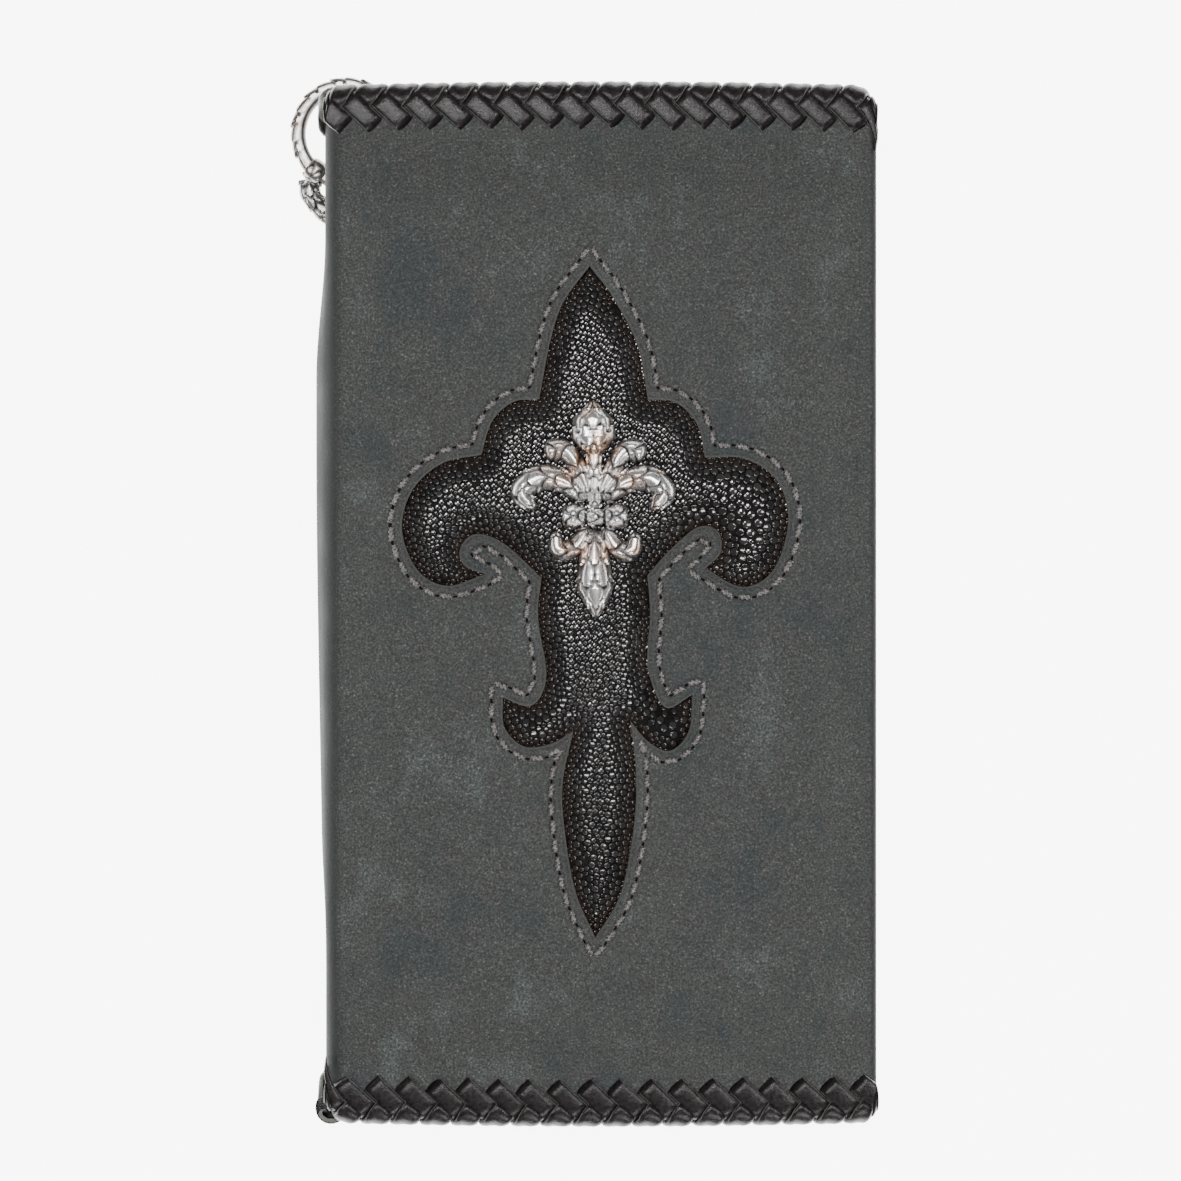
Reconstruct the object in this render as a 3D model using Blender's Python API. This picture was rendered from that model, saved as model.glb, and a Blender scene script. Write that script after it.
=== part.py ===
"""A long biker wallet with a chain ring, closed and lying on its back cover.

X runs from the spine to the free edge, Y along the spine and Z up. The origin is the middle of the flat
of the back cover, on the surface that the wallet lies on. Sizes are in millimetres and each mesh is
written in metres.
"""

import math

import bpy
import numpy as np
from mathutils import Vector
from mathutils.geometry import delaunay_2d_cdt

MM = 0.001
GAP = 0.3  # air left between two pieces that touch in the real wallet

# The leather case
WIDTH = 100.5  # from the spine to the free edge
LENGTH = 190.0  # along the spine, lacing included
LEATHER = 1.8
LINING = 0.7
CORNER_RADIUS = 4.4
LACE_THICKNESS = 1.2
LACE_FLATTENED = 0.96  # its thickness where it lies pressed flat on the lining
LACE_OUTER = 9.6  # how far the lacing reaches in from the end, outside
LACE_INNER = 7.0  # and inside

# Heights in the closed wallet, from the table up
BACK_RIM = 6.2  # the back bulges down, so its rim stands clear of the table
POUCH_REAR = 6.0
POUCH_FRONT = 10.5
PANEL = 0.9  # the pouch's leather
CARD_LEATHER = 0.7
CARD_BOTTOM = 15.4  # the lowest card pocket
CARD_PITCH = CARD_LEATHER + GAP
CARDS_PER_COLUMN = 3
BILL_PANEL = CARD_BOTTOM + CARDS_PER_COLUMN * CARD_PITCH
FRONT_LINING = BILL_PANEL + CARD_PITCH
FRONT_RIM = FRONT_LINING + LINING + GAP  # inner face of the front cover's rim
FRONT_CROWN = 2.7
FRONT_FLAT = FRONT_RIM + FRONT_CROWN + LEATHER  # outer face of the front cover's flat

# The inlay under the front cover
SKIN = 0.7
SKIN_DOME = 1.2  # how far the padded skin stands above the cover
DOME_RUN = 3.0  # how far in from the cut edge it reaches that height
BACKING = 0.5
STITCH_OFFSET = 2.05  # from the cut edge
THREAD = 0.6

# The concho and its two screws
CONCHO_BASE = FRONT_FLAT + SKIN_DOME + GAP
POST_PLACES = [(-1.2, 31.0), (-1.0, 4.5)]
POST_RADIUS = 1.6
POST_BORE = 1.0
SCREW_RADIUS = 0.7
SCREW_HEAD_RADIUS = 3.0
POST_HOLE = POST_RADIUS + GAP

# The chain ring, lying under the lifted corner, and the bail that holds it
RING_PLACE = (-47.5, 88.0)
RING_INNER = 8.2
RING_OUTER = 10.2
RING_BOTTOM = 1.15
RING_TOP = 4.45
BAIL_PLACE = (-48.6, 72.6)  # the bail's upright pin
BAIL_EYE_TURN = math.radians(231.0)  # where round the ring the bail's eye sits
EYE_WALL = 0.8
EYE_PLAY = 0.4
EYE_HALF_LENGTH = 1.5
RUNNING_PLAY = 0.25  # between the ring and its eye, and between the pin and its knuckle
PIN_RADIUS = 0.9

# The coin pouch's zip
ZIP_X = 24.0
ZIP_HALF_SLOT = 4.0
ZIP_HALF_LENGTH = 68.0
ZIP_TAPE = 0.4
SLIDER_LENGTH = 11.0
SLIDER_REST_Y = 60.0

HALF_WIDTH = WIDTH / 2
HALF_LENGTH = LENGTH / 2
COVER_END = HALF_LENGTH - LACE_THICKNESS - GAP - 0.1
SPINE_BOTTOM = BACK_RIM + LEATHER + GAP
SPINE_TOP = FRONT_RIM - GAP

OXIDISED_SILVER = ((0.62, 0.61, 0.58), 0.28, 1.0)
NUBUCK = ((0.065, 0.075, 0.075), 0.85, 0.0)
LACE = ((0.018, 0.015, 0.016), 0.4, 0.0)
SMOOTH_LEATHER = ((0.02, 0.02, 0.022), 0.55, 0.0)
STINGRAY = ((0.012, 0.011, 0.011), 0.25, 0.0)
FOAM = ((0.35, 0.33, 0.3), 0.9, 0.0)
THREAD_FINISH = ((0.05, 0.05, 0.05), 0.6, 0.0)
ZIP_METAL = ((0.5, 0.42, 0.28), 0.35, 1.0)
ZIP_CLOTH = ((0.02, 0.02, 0.02), 0.9, 0.0)


for leftover in list(bpy.data.objects):
    bpy.data.objects.remove(leftover, do_unlink=True)


# ---------------------------------------------------------------- making pieces


def axis_point(name, place, parent=None):
    """An empty on a joint's axis, which carries the pieces that move with it."""
    empty = bpy.data.objects.new(name, None)
    empty.empty_display_size = 5 * MM
    bpy.context.scene.collection.objects.link(empty)
    empty["place"] = place
    empty.location = Vector(place) * MM
    if parent:
        empty.parent = parent
        empty.location -= Vector(parent["place"]) * MM
    return empty


def solid(name, points, faces, finish, axis=None):
    """A named piece from points in millimetres and faces that run anticlockwise seen from outside."""
    colour, roughness, metallic = finish
    place = Vector(axis["place"]) if axis else Vector((0, 0, 0))
    mesh = bpy.data.meshes.new(name)
    mesh.from_pydata([(Vector(point) - place) * MM for point in points], [], faces)
    mesh.shade_smooth()
    mesh.set_sharp_from_angle(angle=math.radians(35))
    material = bpy.data.materials.new(name)
    material.use_nodes = True
    shader = material.node_tree.nodes["Principled BSDF"]
    shader.inputs["Base Color"].default_value = (*colour, 1.0)
    shader.inputs["Roughness"].default_value = roughness
    shader.inputs["Metallic"].default_value = metallic
    mesh.materials.append(material)
    piece = bpy.data.objects.new(name, mesh)
    bpy.context.scene.collection.objects.link(piece)
    piece.parent = axis
    return piece


def inside(points, loop):
    """Which points lie inside a closed loop, by counting the loop's crossings to the right of each."""
    px, py = points[:, 0, None], points[:, 1, None]
    ax, ay = np.array(loop).T
    bx, by = np.roll(ax, -1), np.roll(ay, -1)
    spans = (ay > py) != (by > py)
    crossing = ax + (py - ay) * (bx - ax) / np.where(by == ay, 1.0, by - ay)
    return (spans & (crossing > px)).sum(axis=1) % 2 == 1


def distance(points, loop):
    """How far each point is from a closed loop."""
    a = np.array(loop)
    run = np.roll(a, -1, axis=0) - a
    away = points[:, None] - a
    share = np.clip((away * run).sum(2) / (run * run).sum(1), 0, 1)
    return np.linalg.norm(away - share[..., None] * run, axis=2).min(axis=1)


def sheet_mesh(edge, low, high, holes=(), creases=(), lines=((), ())):
    """Points and faces of a closed sheet between the heights low(x, y) and high(x, y).

    Its outline is edge, cut through by holes. Creases are further loops that its facets follow, and
    lines are the x and y values of the points inside it.
    """
    loops = [list(loop) for loop in (edge, *holes, *creases)]
    grid = np.array([(x, y) for x in lines[0] for y in lines[1]]).reshape(-1, 2)
    if len(grid):
        clear = inside(grid, edge)
        for loop in loops:
            clear &= distance(grid, loop) > 0.6
        for hole in holes:
            clear &= ~inside(grid, hole)
        grid = grid[clear]
    flat = [Vector(point) for loop in loops for point in loop] + [Vector(point) for point in grid]
    constraints = []
    start = 0
    for loop in loops:
        count = len(loop)
        constraints += [(start + i, start + (i + 1) % count) for i in range(count)]
        start += count
    found, _, triangles, *_ = delaunay_2d_cdt(flat, constraints, [], 0, 1e-6)
    plan = np.array([point[:] for point in found])
    triangles = np.array(triangles)
    middles = plan[triangles].mean(axis=1)
    kept = inside(middles, edge)
    for hole in holes:
        kept &= ~inside(middles, hole)
    triangles = triangles[kept]
    a, b, c = (plan[triangles[:, i]] for i in range(3))
    turned = (b[:, 0] - a[:, 0]) * (c[:, 1] - a[:, 1]) < (b[:, 1] - a[:, 1]) * (c[:, 0] - a[:, 0])
    triangles[turned] = triangles[turned][:, ::-1]
    count = len(plan)
    points = [(x, y, low(x, y)) for x, y in plan] + [(x, y, high(x, y)) for x, y in plan]
    faces = [tuple(t[::-1]) for t in triangles] + [tuple(t + count) for t in triangles]
    directed = {(t[i], t[(i + 1) % 3]) for t in triangles.tolist() for i in range(3)}
    faces += [(b + count, a + count, a, b) for a, b in sorted(directed) if (b, a) not in directed]
    used = sorted({i for face in faces for i in face})
    order = {old: new for new, old in enumerate(used)}
    return [points[i] for i in used], [tuple(order[i] for i in face) for face in faces]


def level(height):
    """A flat face at that height."""
    return lambda x, y: height


def sheet(name, edge, low, high, finish, axis=None, **shape):
    """A named closed sheet. Low and high are heights, or functions of x and y."""
    low = low if callable(low) else level(low)
    high = high if callable(high) else level(high)
    points, faces = sheet_mesh(edge, low, high, **shape)
    return solid(name, points, faces, finish, axis)


def prism_mesh(outline, start, end, place):
    """Points and faces of an outline carried from start to end. place(u, v, w) puts a point in space."""
    count = len(outline)
    points = [place(u, v, w) for w in (start, end) for u, v in outline]
    faces = [tuple(range(count - 1, -1, -1)), tuple(range(count, 2 * count))]
    faces += [(i, (i + 1) % count, count + (i + 1) % count, count + i) for i in range(count)]
    return points, faces


def turned_mesh(profile, centre, steps=40):
    """Points and faces of a closed profile of (radius, height) turned round an upright axis."""
    count = len(profile)
    points = []
    for step in range(steps):
        turn = 2 * math.pi * step / steps
        points += [(centre[0] + r * math.cos(turn), centre[1] + r * math.sin(turn), z) for r, z in profile]
    faces = []
    for step in range(steps):
        near, far = step * count, (step + 1) % steps * count
        for i in range(count):
            j = (i + 1) % count
            faces.append((near + i, far + i, far + j, near + j))
    return points, faces


def capped_turn(rings, centre, steps):
    """Points and faces of a profile turned round an upright axis and closed by a flat face at each end."""
    points, faces = [], []
    for radius, height in rings:
        points += [(x, y, height) for x, y in circle(centre, radius, steps)]
    for ring in range(len(rings) - 1):
        for i in range(steps):
            j = (i + 1) % steps
            near, far = ring * steps, (ring + 1) * steps
            faces.append((near + i, near + j, far + j, far + i))
    faces.append(tuple(range(steps - 1, -1, -1)))
    faces.append(tuple(range((len(rings) - 1) * steps, len(rings) * steps)))
    return points, faces


def rectangle(x0, x1, y0, y1, radius=0.0, steps=3):
    """A rectangle's corners, or the points of its rounded ones."""
    if not radius:
        return [(x0, y0), (x1, y0), (x1, y1), (x0, y1)]
    points = []
    corners = [(x1, y0, -90), (x1, y1, 0), (x0, y1, 90), (x0, y0, 180)]
    for x, y, first in corners:
        middle_x = x - math.copysign(radius, x - (x0 + x1) / 2)
        middle_y = y - math.copysign(radius, y - (y0 + y1) / 2)
        for step in range(steps + 1):
            turn = math.radians(first + 90 * step / steps)
            points.append((middle_x + radius * math.cos(turn), middle_y + radius * math.sin(turn)))
    return points


def circle(centre, radius, steps=16):
    """Points round a circle."""
    turns = [2 * math.pi * step / steps for step in range(steps)]
    return [(centre[0] + radius * math.cos(t), centre[1] + radius * math.sin(t)) for t in turns]


def curve_through(points, steps):
    """A smooth Catmull-Rom curve through the points, with that many steps in each span."""
    p = np.array(points, float)
    p = np.vstack([2 * p[0] - p[1], p, 2 * p[-1] - p[-2]])
    t = np.linspace(0, 1, steps, endpoint=False)[:, None]
    spans = []
    for a, b, c, d in zip(p, p[1:], p[2:], p[3:]):
        spans.append(b + 0.5 * t * (c - a + t * (2 * a - 5 * b + 4 * c - d + t * (3 * (b - c) + d - a))))
    return np.vstack([*spans, p[-2]])


def merge(piece, parts):
    """Unites closed solids that overlap with the piece, as one closed body."""
    group = bpy.data.collections.new(piece.name + "_parts")
    for number, (points, faces) in enumerate(parts):
        part = solid(f"{piece.name}_part_{number}", points, faces, OXIDISED_SILVER, piece.parent)
        part.hide_render = True
        part.display_type = "WIRE"
        group.objects.link(part)
    union = piece.modifiers.new("union", "BOOLEAN")
    union.operation = "UNION"
    union.solver = "EXACT"
    union.operand_type = "COLLECTION"
    union.collection = group


# ---------------------------------------------------------------- joints

spine_fold = axis_point("spine_fold", (-HALF_WIDTH, 0, BACK_RIM))
cover_fold = axis_point("cover_fold", (-HALF_WIDTH, 0, FRONT_RIM + LEATHER), spine_fold)
bail_swing = axis_point("bail_swing", (*BAIL_PLACE, (RING_BOTTOM + RING_TOP) / 2))
ring_turn = axis_point("ring_turn", (*RING_PLACE, (RING_BOTTOM + RING_TOP) / 2), bail_swing)
slider_slide = axis_point("slider_slide", (ZIP_X, SLIDER_REST_Y, POUCH_FRONT + PANEL))
pull_swing = axis_point("pull_swing", (ZIP_X, SLIDER_REST_Y, POUCH_FRONT + PANEL), slider_slide)


# ---------------------------------------------------------------- covers, spine and linings


def shoulder(away, flat, end):
    """1 up to flat from the edge and 0 past end, with a smooth shoulder between."""
    share = min(max((end - away) / (end - flat), 0.0), 1.0)
    return share * share * (3 - 2 * share)


def rim(x, y, sides, ends):
    """1 along the rim of a cover and 0 on its flat. Sides and ends say where its shoulders start and stop."""
    side = shoulder(HALF_WIDTH - abs(x), *sides)
    end = shoulder(HALF_LENGTH - abs(y), *ends)
    return 1 - (1 - side) * (1 - end)


BACK_SIDES, BACK_ENDS = (4.0, 18.0), (10.0, 24.0)
FRONT_SIDES, FRONT_ENDS = (3.0, 10.0), (9.0, 16.0)


def back_height(x, y):
    """Outer face of the back cover."""
    return BACK_RIM * rim(x, y, BACK_SIDES, BACK_ENDS)


def front_height(x, y):
    """Inner face of the front cover."""
    return FRONT_RIM + FRONT_CROWN * (1 - rim(x, y, FRONT_SIDES, FRONT_ENDS))


def above(surface, rise):
    """A surface that lies a given height above another one."""
    return lambda x, y: surface(x, y) + rise


def shoulder_facets(sides, ends, steps=3):
    """The loops that a crowned sheet's facets follow down its shoulders, and the lines between them."""
    loops, lines = [], ([], [])
    for step in range(steps + 1):
        share = step / steps
        x = HALF_WIDTH - sides[0] - (sides[1] - sides[0]) * share
        y = HALF_LENGTH - ends[0] - (ends[1] - ends[0]) * share
        loops.append(rectangle(-x, x, -y, y))
        lines[0].extend([-x, x])
        lines[1].extend([-y, y])
    lines[0].extend([-x / 2, 0.0, x / 2])
    lines[1].extend([-2 * y / 3, -y / 3, 0.0, y / 3, 2 * y / 3])
    return {"creases": loops, "lines": lines}


back_facets = shoulder_facets(BACK_SIDES, BACK_ENDS)
front_facets = shoulder_facets(FRONT_SIDES, FRONT_ENDS)

cover_edge = rectangle(-HALF_WIDTH, HALF_WIDTH, -COVER_END, COVER_END, CORNER_RADIUS)
lining_left = -HALF_WIDTH + LEATHER + GAP + 0.05
lining_edge = rectangle(lining_left, HALF_WIDTH - 0.6, -COVER_END, COVER_END, CORNER_RADIUS)
back_lining_low = above(back_height, LEATHER + GAP)

sheet("back_cover", cover_edge, back_height, above(back_height, LEATHER), NUBUCK, **back_facets)
sheet(
    "back_lining",
    lining_edge,
    back_lining_low,
    above(back_lining_low, LINING),
    SMOOTH_LEATHER,
    **back_facets,
)
sheet("front_lining", lining_edge, FRONT_LINING, FRONT_LINING + LINING, SMOOTH_LEATHER, cover_fold)

spine_edge = rectangle(-HALF_WIDTH, -HALF_WIDTH + LEATHER, -COVER_END, COVER_END)
sheet("spine_leather", spine_edge, SPINE_BOTTOM, SPINE_TOP, NUBUCK, spine_fold)
spine_lining_left = -HALF_WIDTH + LEATHER + GAP
spine_lining_edge = rectangle(spine_lining_left, spine_lining_left + LINING, -COVER_END, COVER_END)
sheet(
    "spine_lining",
    spine_lining_edge,
    SPINE_BOTTOM + LINING + GAP,
    SPINE_TOP - LINING - GAP,
    SMOOTH_LEATHER,
    spine_fold,
)


# ---------------------------------------------------------------- lacing along the two ends


def lace_profile(inner_face, outer_face):
    """A lacing's C-shaped section, as (distance along Y, height): it wraps the end of a cover."""
    side = 1 if outer_face > inner_face else -1
    out = outer_face + side * (GAP + LACE_THICKNESS)
    turn_in = inner_face - side * (GAP + LACE_FLATTENED)
    wrap = HALF_LENGTH - LACE_THICKNESS
    section = [
        (HALF_LENGTH - LACE_OUTER, outer_face + side * GAP),
        (wrap, outer_face + side * GAP),
        (wrap, inner_face - side * GAP),
        (HALF_LENGTH - LACE_INNER, inner_face - side * GAP),
        (HALF_LENGTH - LACE_INNER, turn_in),
        (HALF_LENGTH, turn_in),
        (HALF_LENGTH, out),
        (HALF_LENGTH - LACE_OUTER, out),
    ]
    return section if side > 0 else section[::-1]


def lacing(name, end, inner_face, outer_face, start, stop, axis, upright):
    """Lacing along one end of a cover, or of the upright spine. End is 1 for +Y and -1 for -Y."""
    profile = lace_profile(inner_face, outer_face)

    def place(y, depth, along):
        return (depth, end * y, along) if upright else (along, end * y, depth)

    points, faces = prism_mesh(profile, start, stop, place)
    if (end < 0) != upright:
        faces = [face[::-1] for face in faces]
    solid(name, points, faces, LACE, axis)


lace_left = spine_lining_left + LINING + GAP + LACE_THICKNESS + GAP
for side_name, end in (("upper", 1), ("lower", -1)):
    lacing(
        f"back_lacing_{side_name}",
        end,
        BACK_RIM + LEATHER + GAP + LINING,
        BACK_RIM,
        lace_left,
        HALF_WIDTH,
        None,
        False,
    )
    lacing(
        f"front_lacing_{side_name}",
        end,
        FRONT_LINING,
        FRONT_RIM + LEATHER,
        lace_left,
        HALF_WIDTH,
        cover_fold,
        False,
    )
    lacing(
        f"spine_lacing_{side_name}",
        end,
        spine_lining_left + LINING,
        -HALF_WIDTH,
        SPINE_BOTTOM + 2.0,
        SPINE_TOP - 2.0,
        spine_fold,
        True,
    )


# ---------------------------------------------------------------- cut-out, stingray inlay and stitching

TOP_TIP, BOTTOM_TIP = (-2.0, 61.4), (-1.0, -60.6)
LEFT_SIDE = [
    [TOP_TIP, (-6.8, 54.8), (-9.2, 47.6), (-11.2, 37.2)],
    [(-11.2, 37.2), (-15.9, 36.7), (-19.8, 33.1), (-21.7, 27.1)],
    [(-21.7, 27.1), (-28.8, 25.6), (-34.3, 20.6), (-36.1, 13.4), (-33.2, 6.1), (-27.8, 3.3), (-21.0, 5.4)],
    [(-21.0, 5.4), (-24.6, 6.9), (-25.5, 9.8), (-22.9, 12.7), (-17.6, 11.0), (-10.8, 4.8)],
    [(-10.8, 4.8), (-11.4, -2.5), (-9.9, -13.2), (-12.6, -18.5), (-17.8, -17.0)],
    [(-17.8, -17.0), (-17.5, -22.4), (-13.9, -25.9), (-9.0, -25.4), (-5.0, -23.1)],
    [(-5.0, -23.1), (-6.9, -32.0), (-6.7, -40.0), (-4.7, -51.9), BOTTOM_TIP],
]
RIGHT_SIDE = [
    [TOP_TIP, (2.2, 55.6), (6.7, 46.8), (8.5, 37.1)],
    [(8.5, 37.1), (13.6, 36.6), (17.5, 32.6), (18.9, 26.6)],
    [(18.9, 26.6), (26.2, 26.4), (32.1, 22.3), (34.0, 14.8), (31.2, 6.1), (25.6, 3.1), (19.0, 6.5)],
    [(19.0, 6.5), (21.7, 9.3), (21.3, 13.2), (17.6, 14.0), (12.6, 9.9), (8.4, 5.2)],
    [(8.4, 5.2), (8.9, -2.0), (8.5, -11.5), (11.6, -18.8), (16.6, -16.5)],
    [(16.6, -16.5), (15.9, -23.2), (12.5, -26.7), (8.6, -25.0), (5.3, -21.2)],
    [(5.3, -21.2), (6.3, -30.0), (6.0, -40.0), (3.6, -52.5), BOTTOM_TIP],
]
CUT_RUNS = [curve_through(run, 2) for run in LEFT_SIDE]
CUT_RUNS += [curve_through(run[::-1], 2) for run in RIGHT_SIDE[::-1]]
MITRE_REACH = 9.0


def crossing(first, second, corner):
    """Where two lines of points cross nearest to a corner, as (place, index in first, index in second)."""
    best = None
    for i, (a, b) in enumerate(zip(first, first[1:])):
        for j, (c, d) in enumerate(zip(second, second[1:])):
            run, other = b - a, d - c
            turn = run[0] * other[1] - run[1] * other[0]
            if abs(turn) < 1e-9:
                continue
            s = ((c - a)[0] * other[1] - (c - a)[1] * other[0]) / turn
            t = ((c - a)[0] * run[1] - (c - a)[1] * run[0]) / turn
            if 0 <= s <= 1 and 0 <= t <= 1:
                point = a + s * run
                reach = np.linalg.norm(point - corner)
                if best is None or reach < best[0]:
                    best = (reach, point, i, j)
    return best[1:]


def beside(runs, offset):
    """A closed loop that runs that far outside the cut, with mitred corners."""
    moved = []
    for run in runs:
        along = np.gradient(run, axis=0)
        along /= np.linalg.norm(along, axis=1)[:, None]
        out = np.column_stack([-along[:, 1], along[:, 0]]) * -offset
        line = run + out
        before = line[0] - MITRE_REACH * along[0]
        after = line[-1] + MITRE_REACH * along[-1]
        moved.append(np.vstack([before, line, after]))
    cuts = []
    for i, run in enumerate(runs):
        cuts.append(crossing(moved[i], moved[(i + 1) % len(runs)], run[-1]))
    loop = []
    for i, line in enumerate(moved):
        point, _, first = cuts[i - 1]
        loop.append(point[None])
        loop.append(line[first + 1 : cuts[i][1] + 1])
    return [tuple(point) for point in np.vstack(loop)]


cut_edge = [tuple(point) for run in CUT_RUNS for point in run[:-1]]
sheet(
    "front_cover",
    cover_edge,
    front_height,
    above(front_height, LEATHER),
    NUBUCK,
    cover_fold,
    holes=[cut_edge],
    **front_facets,
)

SKIN_TOP_UNDER_COVER = FRONT_RIM + FRONT_CROWN - GAP
SKIN_RISE = FRONT_FLAT + SKIN_DOME - SKIN_TOP_UNDER_COVER
ALLOWANCE_EDGE = [
    *[(-1.5, 67.0), (-9.0, 62.0), (-16.5, 41.0), (-26.0, 32.5), (-37.0, 27.0), (-40.5, 13.0), (-36.0, 0.5)],
    *[(-16.5, -2.0), (-22.5, -15.0), (-22.0, -25.0), (-12.0, -31.5), (-10.0, -50.0), (-1.0, -67.0)],
    *[(8.0, -50.0), (11.0, -31.5), (20.5, -25.0), (21.0, -14.0), (14.0, -2.0), (33.0, 0.0), (38.5, 13.0)],
    *[(35.5, 27.0), (23.0, 33.0), (14.0, 42.0), (6.5, 60.0)],
]
allowance = ALLOWANCE_EDGE[::-1]
post_holes = [circle(place, POST_HOLE, 10) for place in POST_PLACES]


def dome(x, y):
    """Share of its full rise that the padded skin has: 0 outside the cut and 1 well inside it."""
    point = np.array([[x, y]])
    if not inside(point, cut_edge)[0]:
        return 0.0
    share = min(distance(point, cut_edge)[0] / DOME_RUN, 1.0)
    return math.sin(share * math.pi / 2)


def skin_top(x, y):
    """Outer face of the stingray skin."""
    return SKIN_TOP_UNDER_COVER + SKIN_RISE * dome(x, y)


PADDING_INSET = 1.2  # the padding stops this far short of the cut
padding_edge = beside(CUT_RUNS, -PADDING_INSET)
DOME_STEP = 3.3
dome_lines = (
    [step * DOME_STEP - 1.0 for step in range(-11, 12)],
    [step * DOME_STEP for step in range(-18, 19)],
)
sheet(
    "stingray_inlay",
    allowance,
    above(skin_top, -SKIN),
    skin_top,
    STINGRAY,
    cover_fold,
    holes=post_holes,
    creases=[cut_edge, padding_edge],
    lines=dome_lines,
)
sheet(
    "inlay_padding",
    padding_edge,
    SKIN_TOP_UNDER_COVER - SKIN,
    above(skin_top, -SKIN - GAP),
    FOAM,
    cover_fold,
    holes=post_holes,
    lines=dome_lines,
)
backing_top = SKIN_TOP_UNDER_COVER - SKIN - GAP
sheet("inlay_backing", allowance, backing_top - BACKING, backing_top, FOAM, cover_fold, holes=post_holes)
sheet(
    "inlay_stitching",
    beside(CUT_RUNS, STITCH_OFFSET + THREAD / 2),
    FRONT_FLAT + 0.05,
    FRONT_FLAT + 0.05 + THREAD,
    THREAD_FINISH,
    cover_fold,
    holes=[beside(CUT_RUNS, STITCH_OFFSET - THREAD / 2)],
)


# ---------------------------------------------------------------- the fleur-de-lis concho


LOBE_SIDE = 0.15  # how much of a lobe's height its upright side has
LOBE_TIP = 0.35  # how much of its height is left at a tip of no width


def lobe(points, widths, base, height):
    """A leaf or petal: a low D-shaped section of the given half-widths, carried along a smooth line."""
    line = curve_through(points, 3)
    shares = np.linspace(0, 1, len(line))
    half = np.interp(shares, np.linspace(0, 1, len(widths)), widths)
    along = np.gradient(line, axis=0)
    along /= np.linalg.norm(along, axis=1)[:, None]
    side = np.column_stack([-along[:, 1], along[:, 0]])
    section = [(1.0, 0.0)]
    for turn in np.radians([0, 45, 90, 135, 180]):
        section.append((math.cos(turn), LOBE_SIDE + (1 - LOBE_SIDE) * math.sin(turn)))
    section.append((-1.0, 0.0))
    points, faces = [], []
    for place, across, reach in zip(line, side, half):
        for u, rise in section:
            x, y = place + across * u * reach
            share = LOBE_TIP + (1 - LOBE_TIP) * reach / max(widths)
            points.append((x, y, base + rise * height * share))
    count = len(section)
    rings = len(line)
    for ring in range(rings - 1):
        for i in range(count):
            j = (i + 1) % count
            near, far = ring * count, (ring + 1) * count
            faces.append((near + i, far + i, far + j, near + j))
    faces.append(tuple(range(count)))
    faces.append(tuple(range(rings * count - 1, (rings - 1) * count - 1, -1)))
    return points, [face[::-1] for face in faces]


PETAL_WIDTHS = [1.4, 1.9, 1.9, 1.7, 0.9]
LOBES = [
    ([(-1.3, 27.0), (-1.5, 31.5), (-1.5, 36.6)], [2.0, 3.5, 0.6], 4.0),
    ([(-1.7, 20.8), (-4.4, 25.6), (-6.9, 28.2), (-9.4, 27.2)], [1.2, 1.3, 1.5, 1.5], 2.6),
    ([(-0.9, 20.8), (2.9, 25.6), (5.6, 28.0), (7.6, 26.9)], [1.2, 1.3, 1.5, 1.5], 2.6),
    ([(-2.6, 17.6), (-7.2, 22.6), (-11.2, 23.0), (-13.4, 20.2), (-11.3, 17.6)], PETAL_WIDTHS, 3.2),
    ([(0.4, 17.8), (5.0, 22.6), (9.0, 22.8), (10.8, 20.0), (8.2, 17.6)], PETAL_WIDTHS, 3.2),
    ([(-6.6, 15.8), (-1.0, 15.8), (4.6, 15.8)], [1.6, 2.0, 1.6], 4.2),
    ([(-2.6, 13.9), (-5.4, 9.9), (-8.6, 10.4), (-8.0, 12.8)], [1.1, 1.2, 1.0, 0.6], 2.4),
    ([(0.8, 13.9), (3.2, 9.7), (6.0, 10.0), (6.0, 12.2)], [1.1, 1.2, 1.0, 0.6], 2.4),
    ([(-1.2, 13.6), (-1.1, 5.2), (-0.9, -2.3)], [1.3, 2.8, 0.6], 3.8),
]
STEM = ([(-1.3, 28.2), (-1.3, 21.0), (-1.1, 12.4)], [1.5, 1.7, 1.7], 3.0)
concho_points, concho_faces = lobe(*STEM[:2], CONCHO_BASE, STEM[2])
concho = solid("fleur_concho", concho_points, concho_faces, OXIDISED_SILVER, cover_fold)
BASE_STEP = 0.03  # each lobe's base is a little higher, so that no two faces lie in one plane
concho_parts = []
for number, (line, widths, height) in enumerate(LOBES, start=1):
    concho_parts.append(lobe(line, widths, CONCHO_BASE + BASE_STEP * number, height))
merge(concho, concho_parts)

post_bottom = SKIN_TOP_UNDER_COVER - SKIN
post_top = CONCHO_BASE - GAP
screw_head_top = backing_top - BACKING - GAP
screw_head_bottom = FRONT_LINING + LINING + GAP
post_profile = [
    (POST_BORE, post_bottom),
    (POST_RADIUS, post_bottom),
    (POST_RADIUS, post_top),
    (POST_BORE, post_top),
]


screw_rings = [
    (SCREW_HEAD_RADIUS, screw_head_bottom),
    (SCREW_HEAD_RADIUS, screw_head_top),
    (SCREW_RADIUS, screw_head_top),
    (SCREW_RADIUS, post_top - 1.0),
]


for name, place in zip(("upper", "lower"), POST_PLACES):
    solid(f"concho_post_{name}", *turned_mesh(post_profile, place, 12), OXIDISED_SILVER, cover_fold)
    solid(f"concho_screw_{name}", *capped_turn(screw_rings, place, 14), OXIDISED_SILVER, cover_fold)


# ---------------------------------------------------------------- bill panel and card pockets

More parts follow.
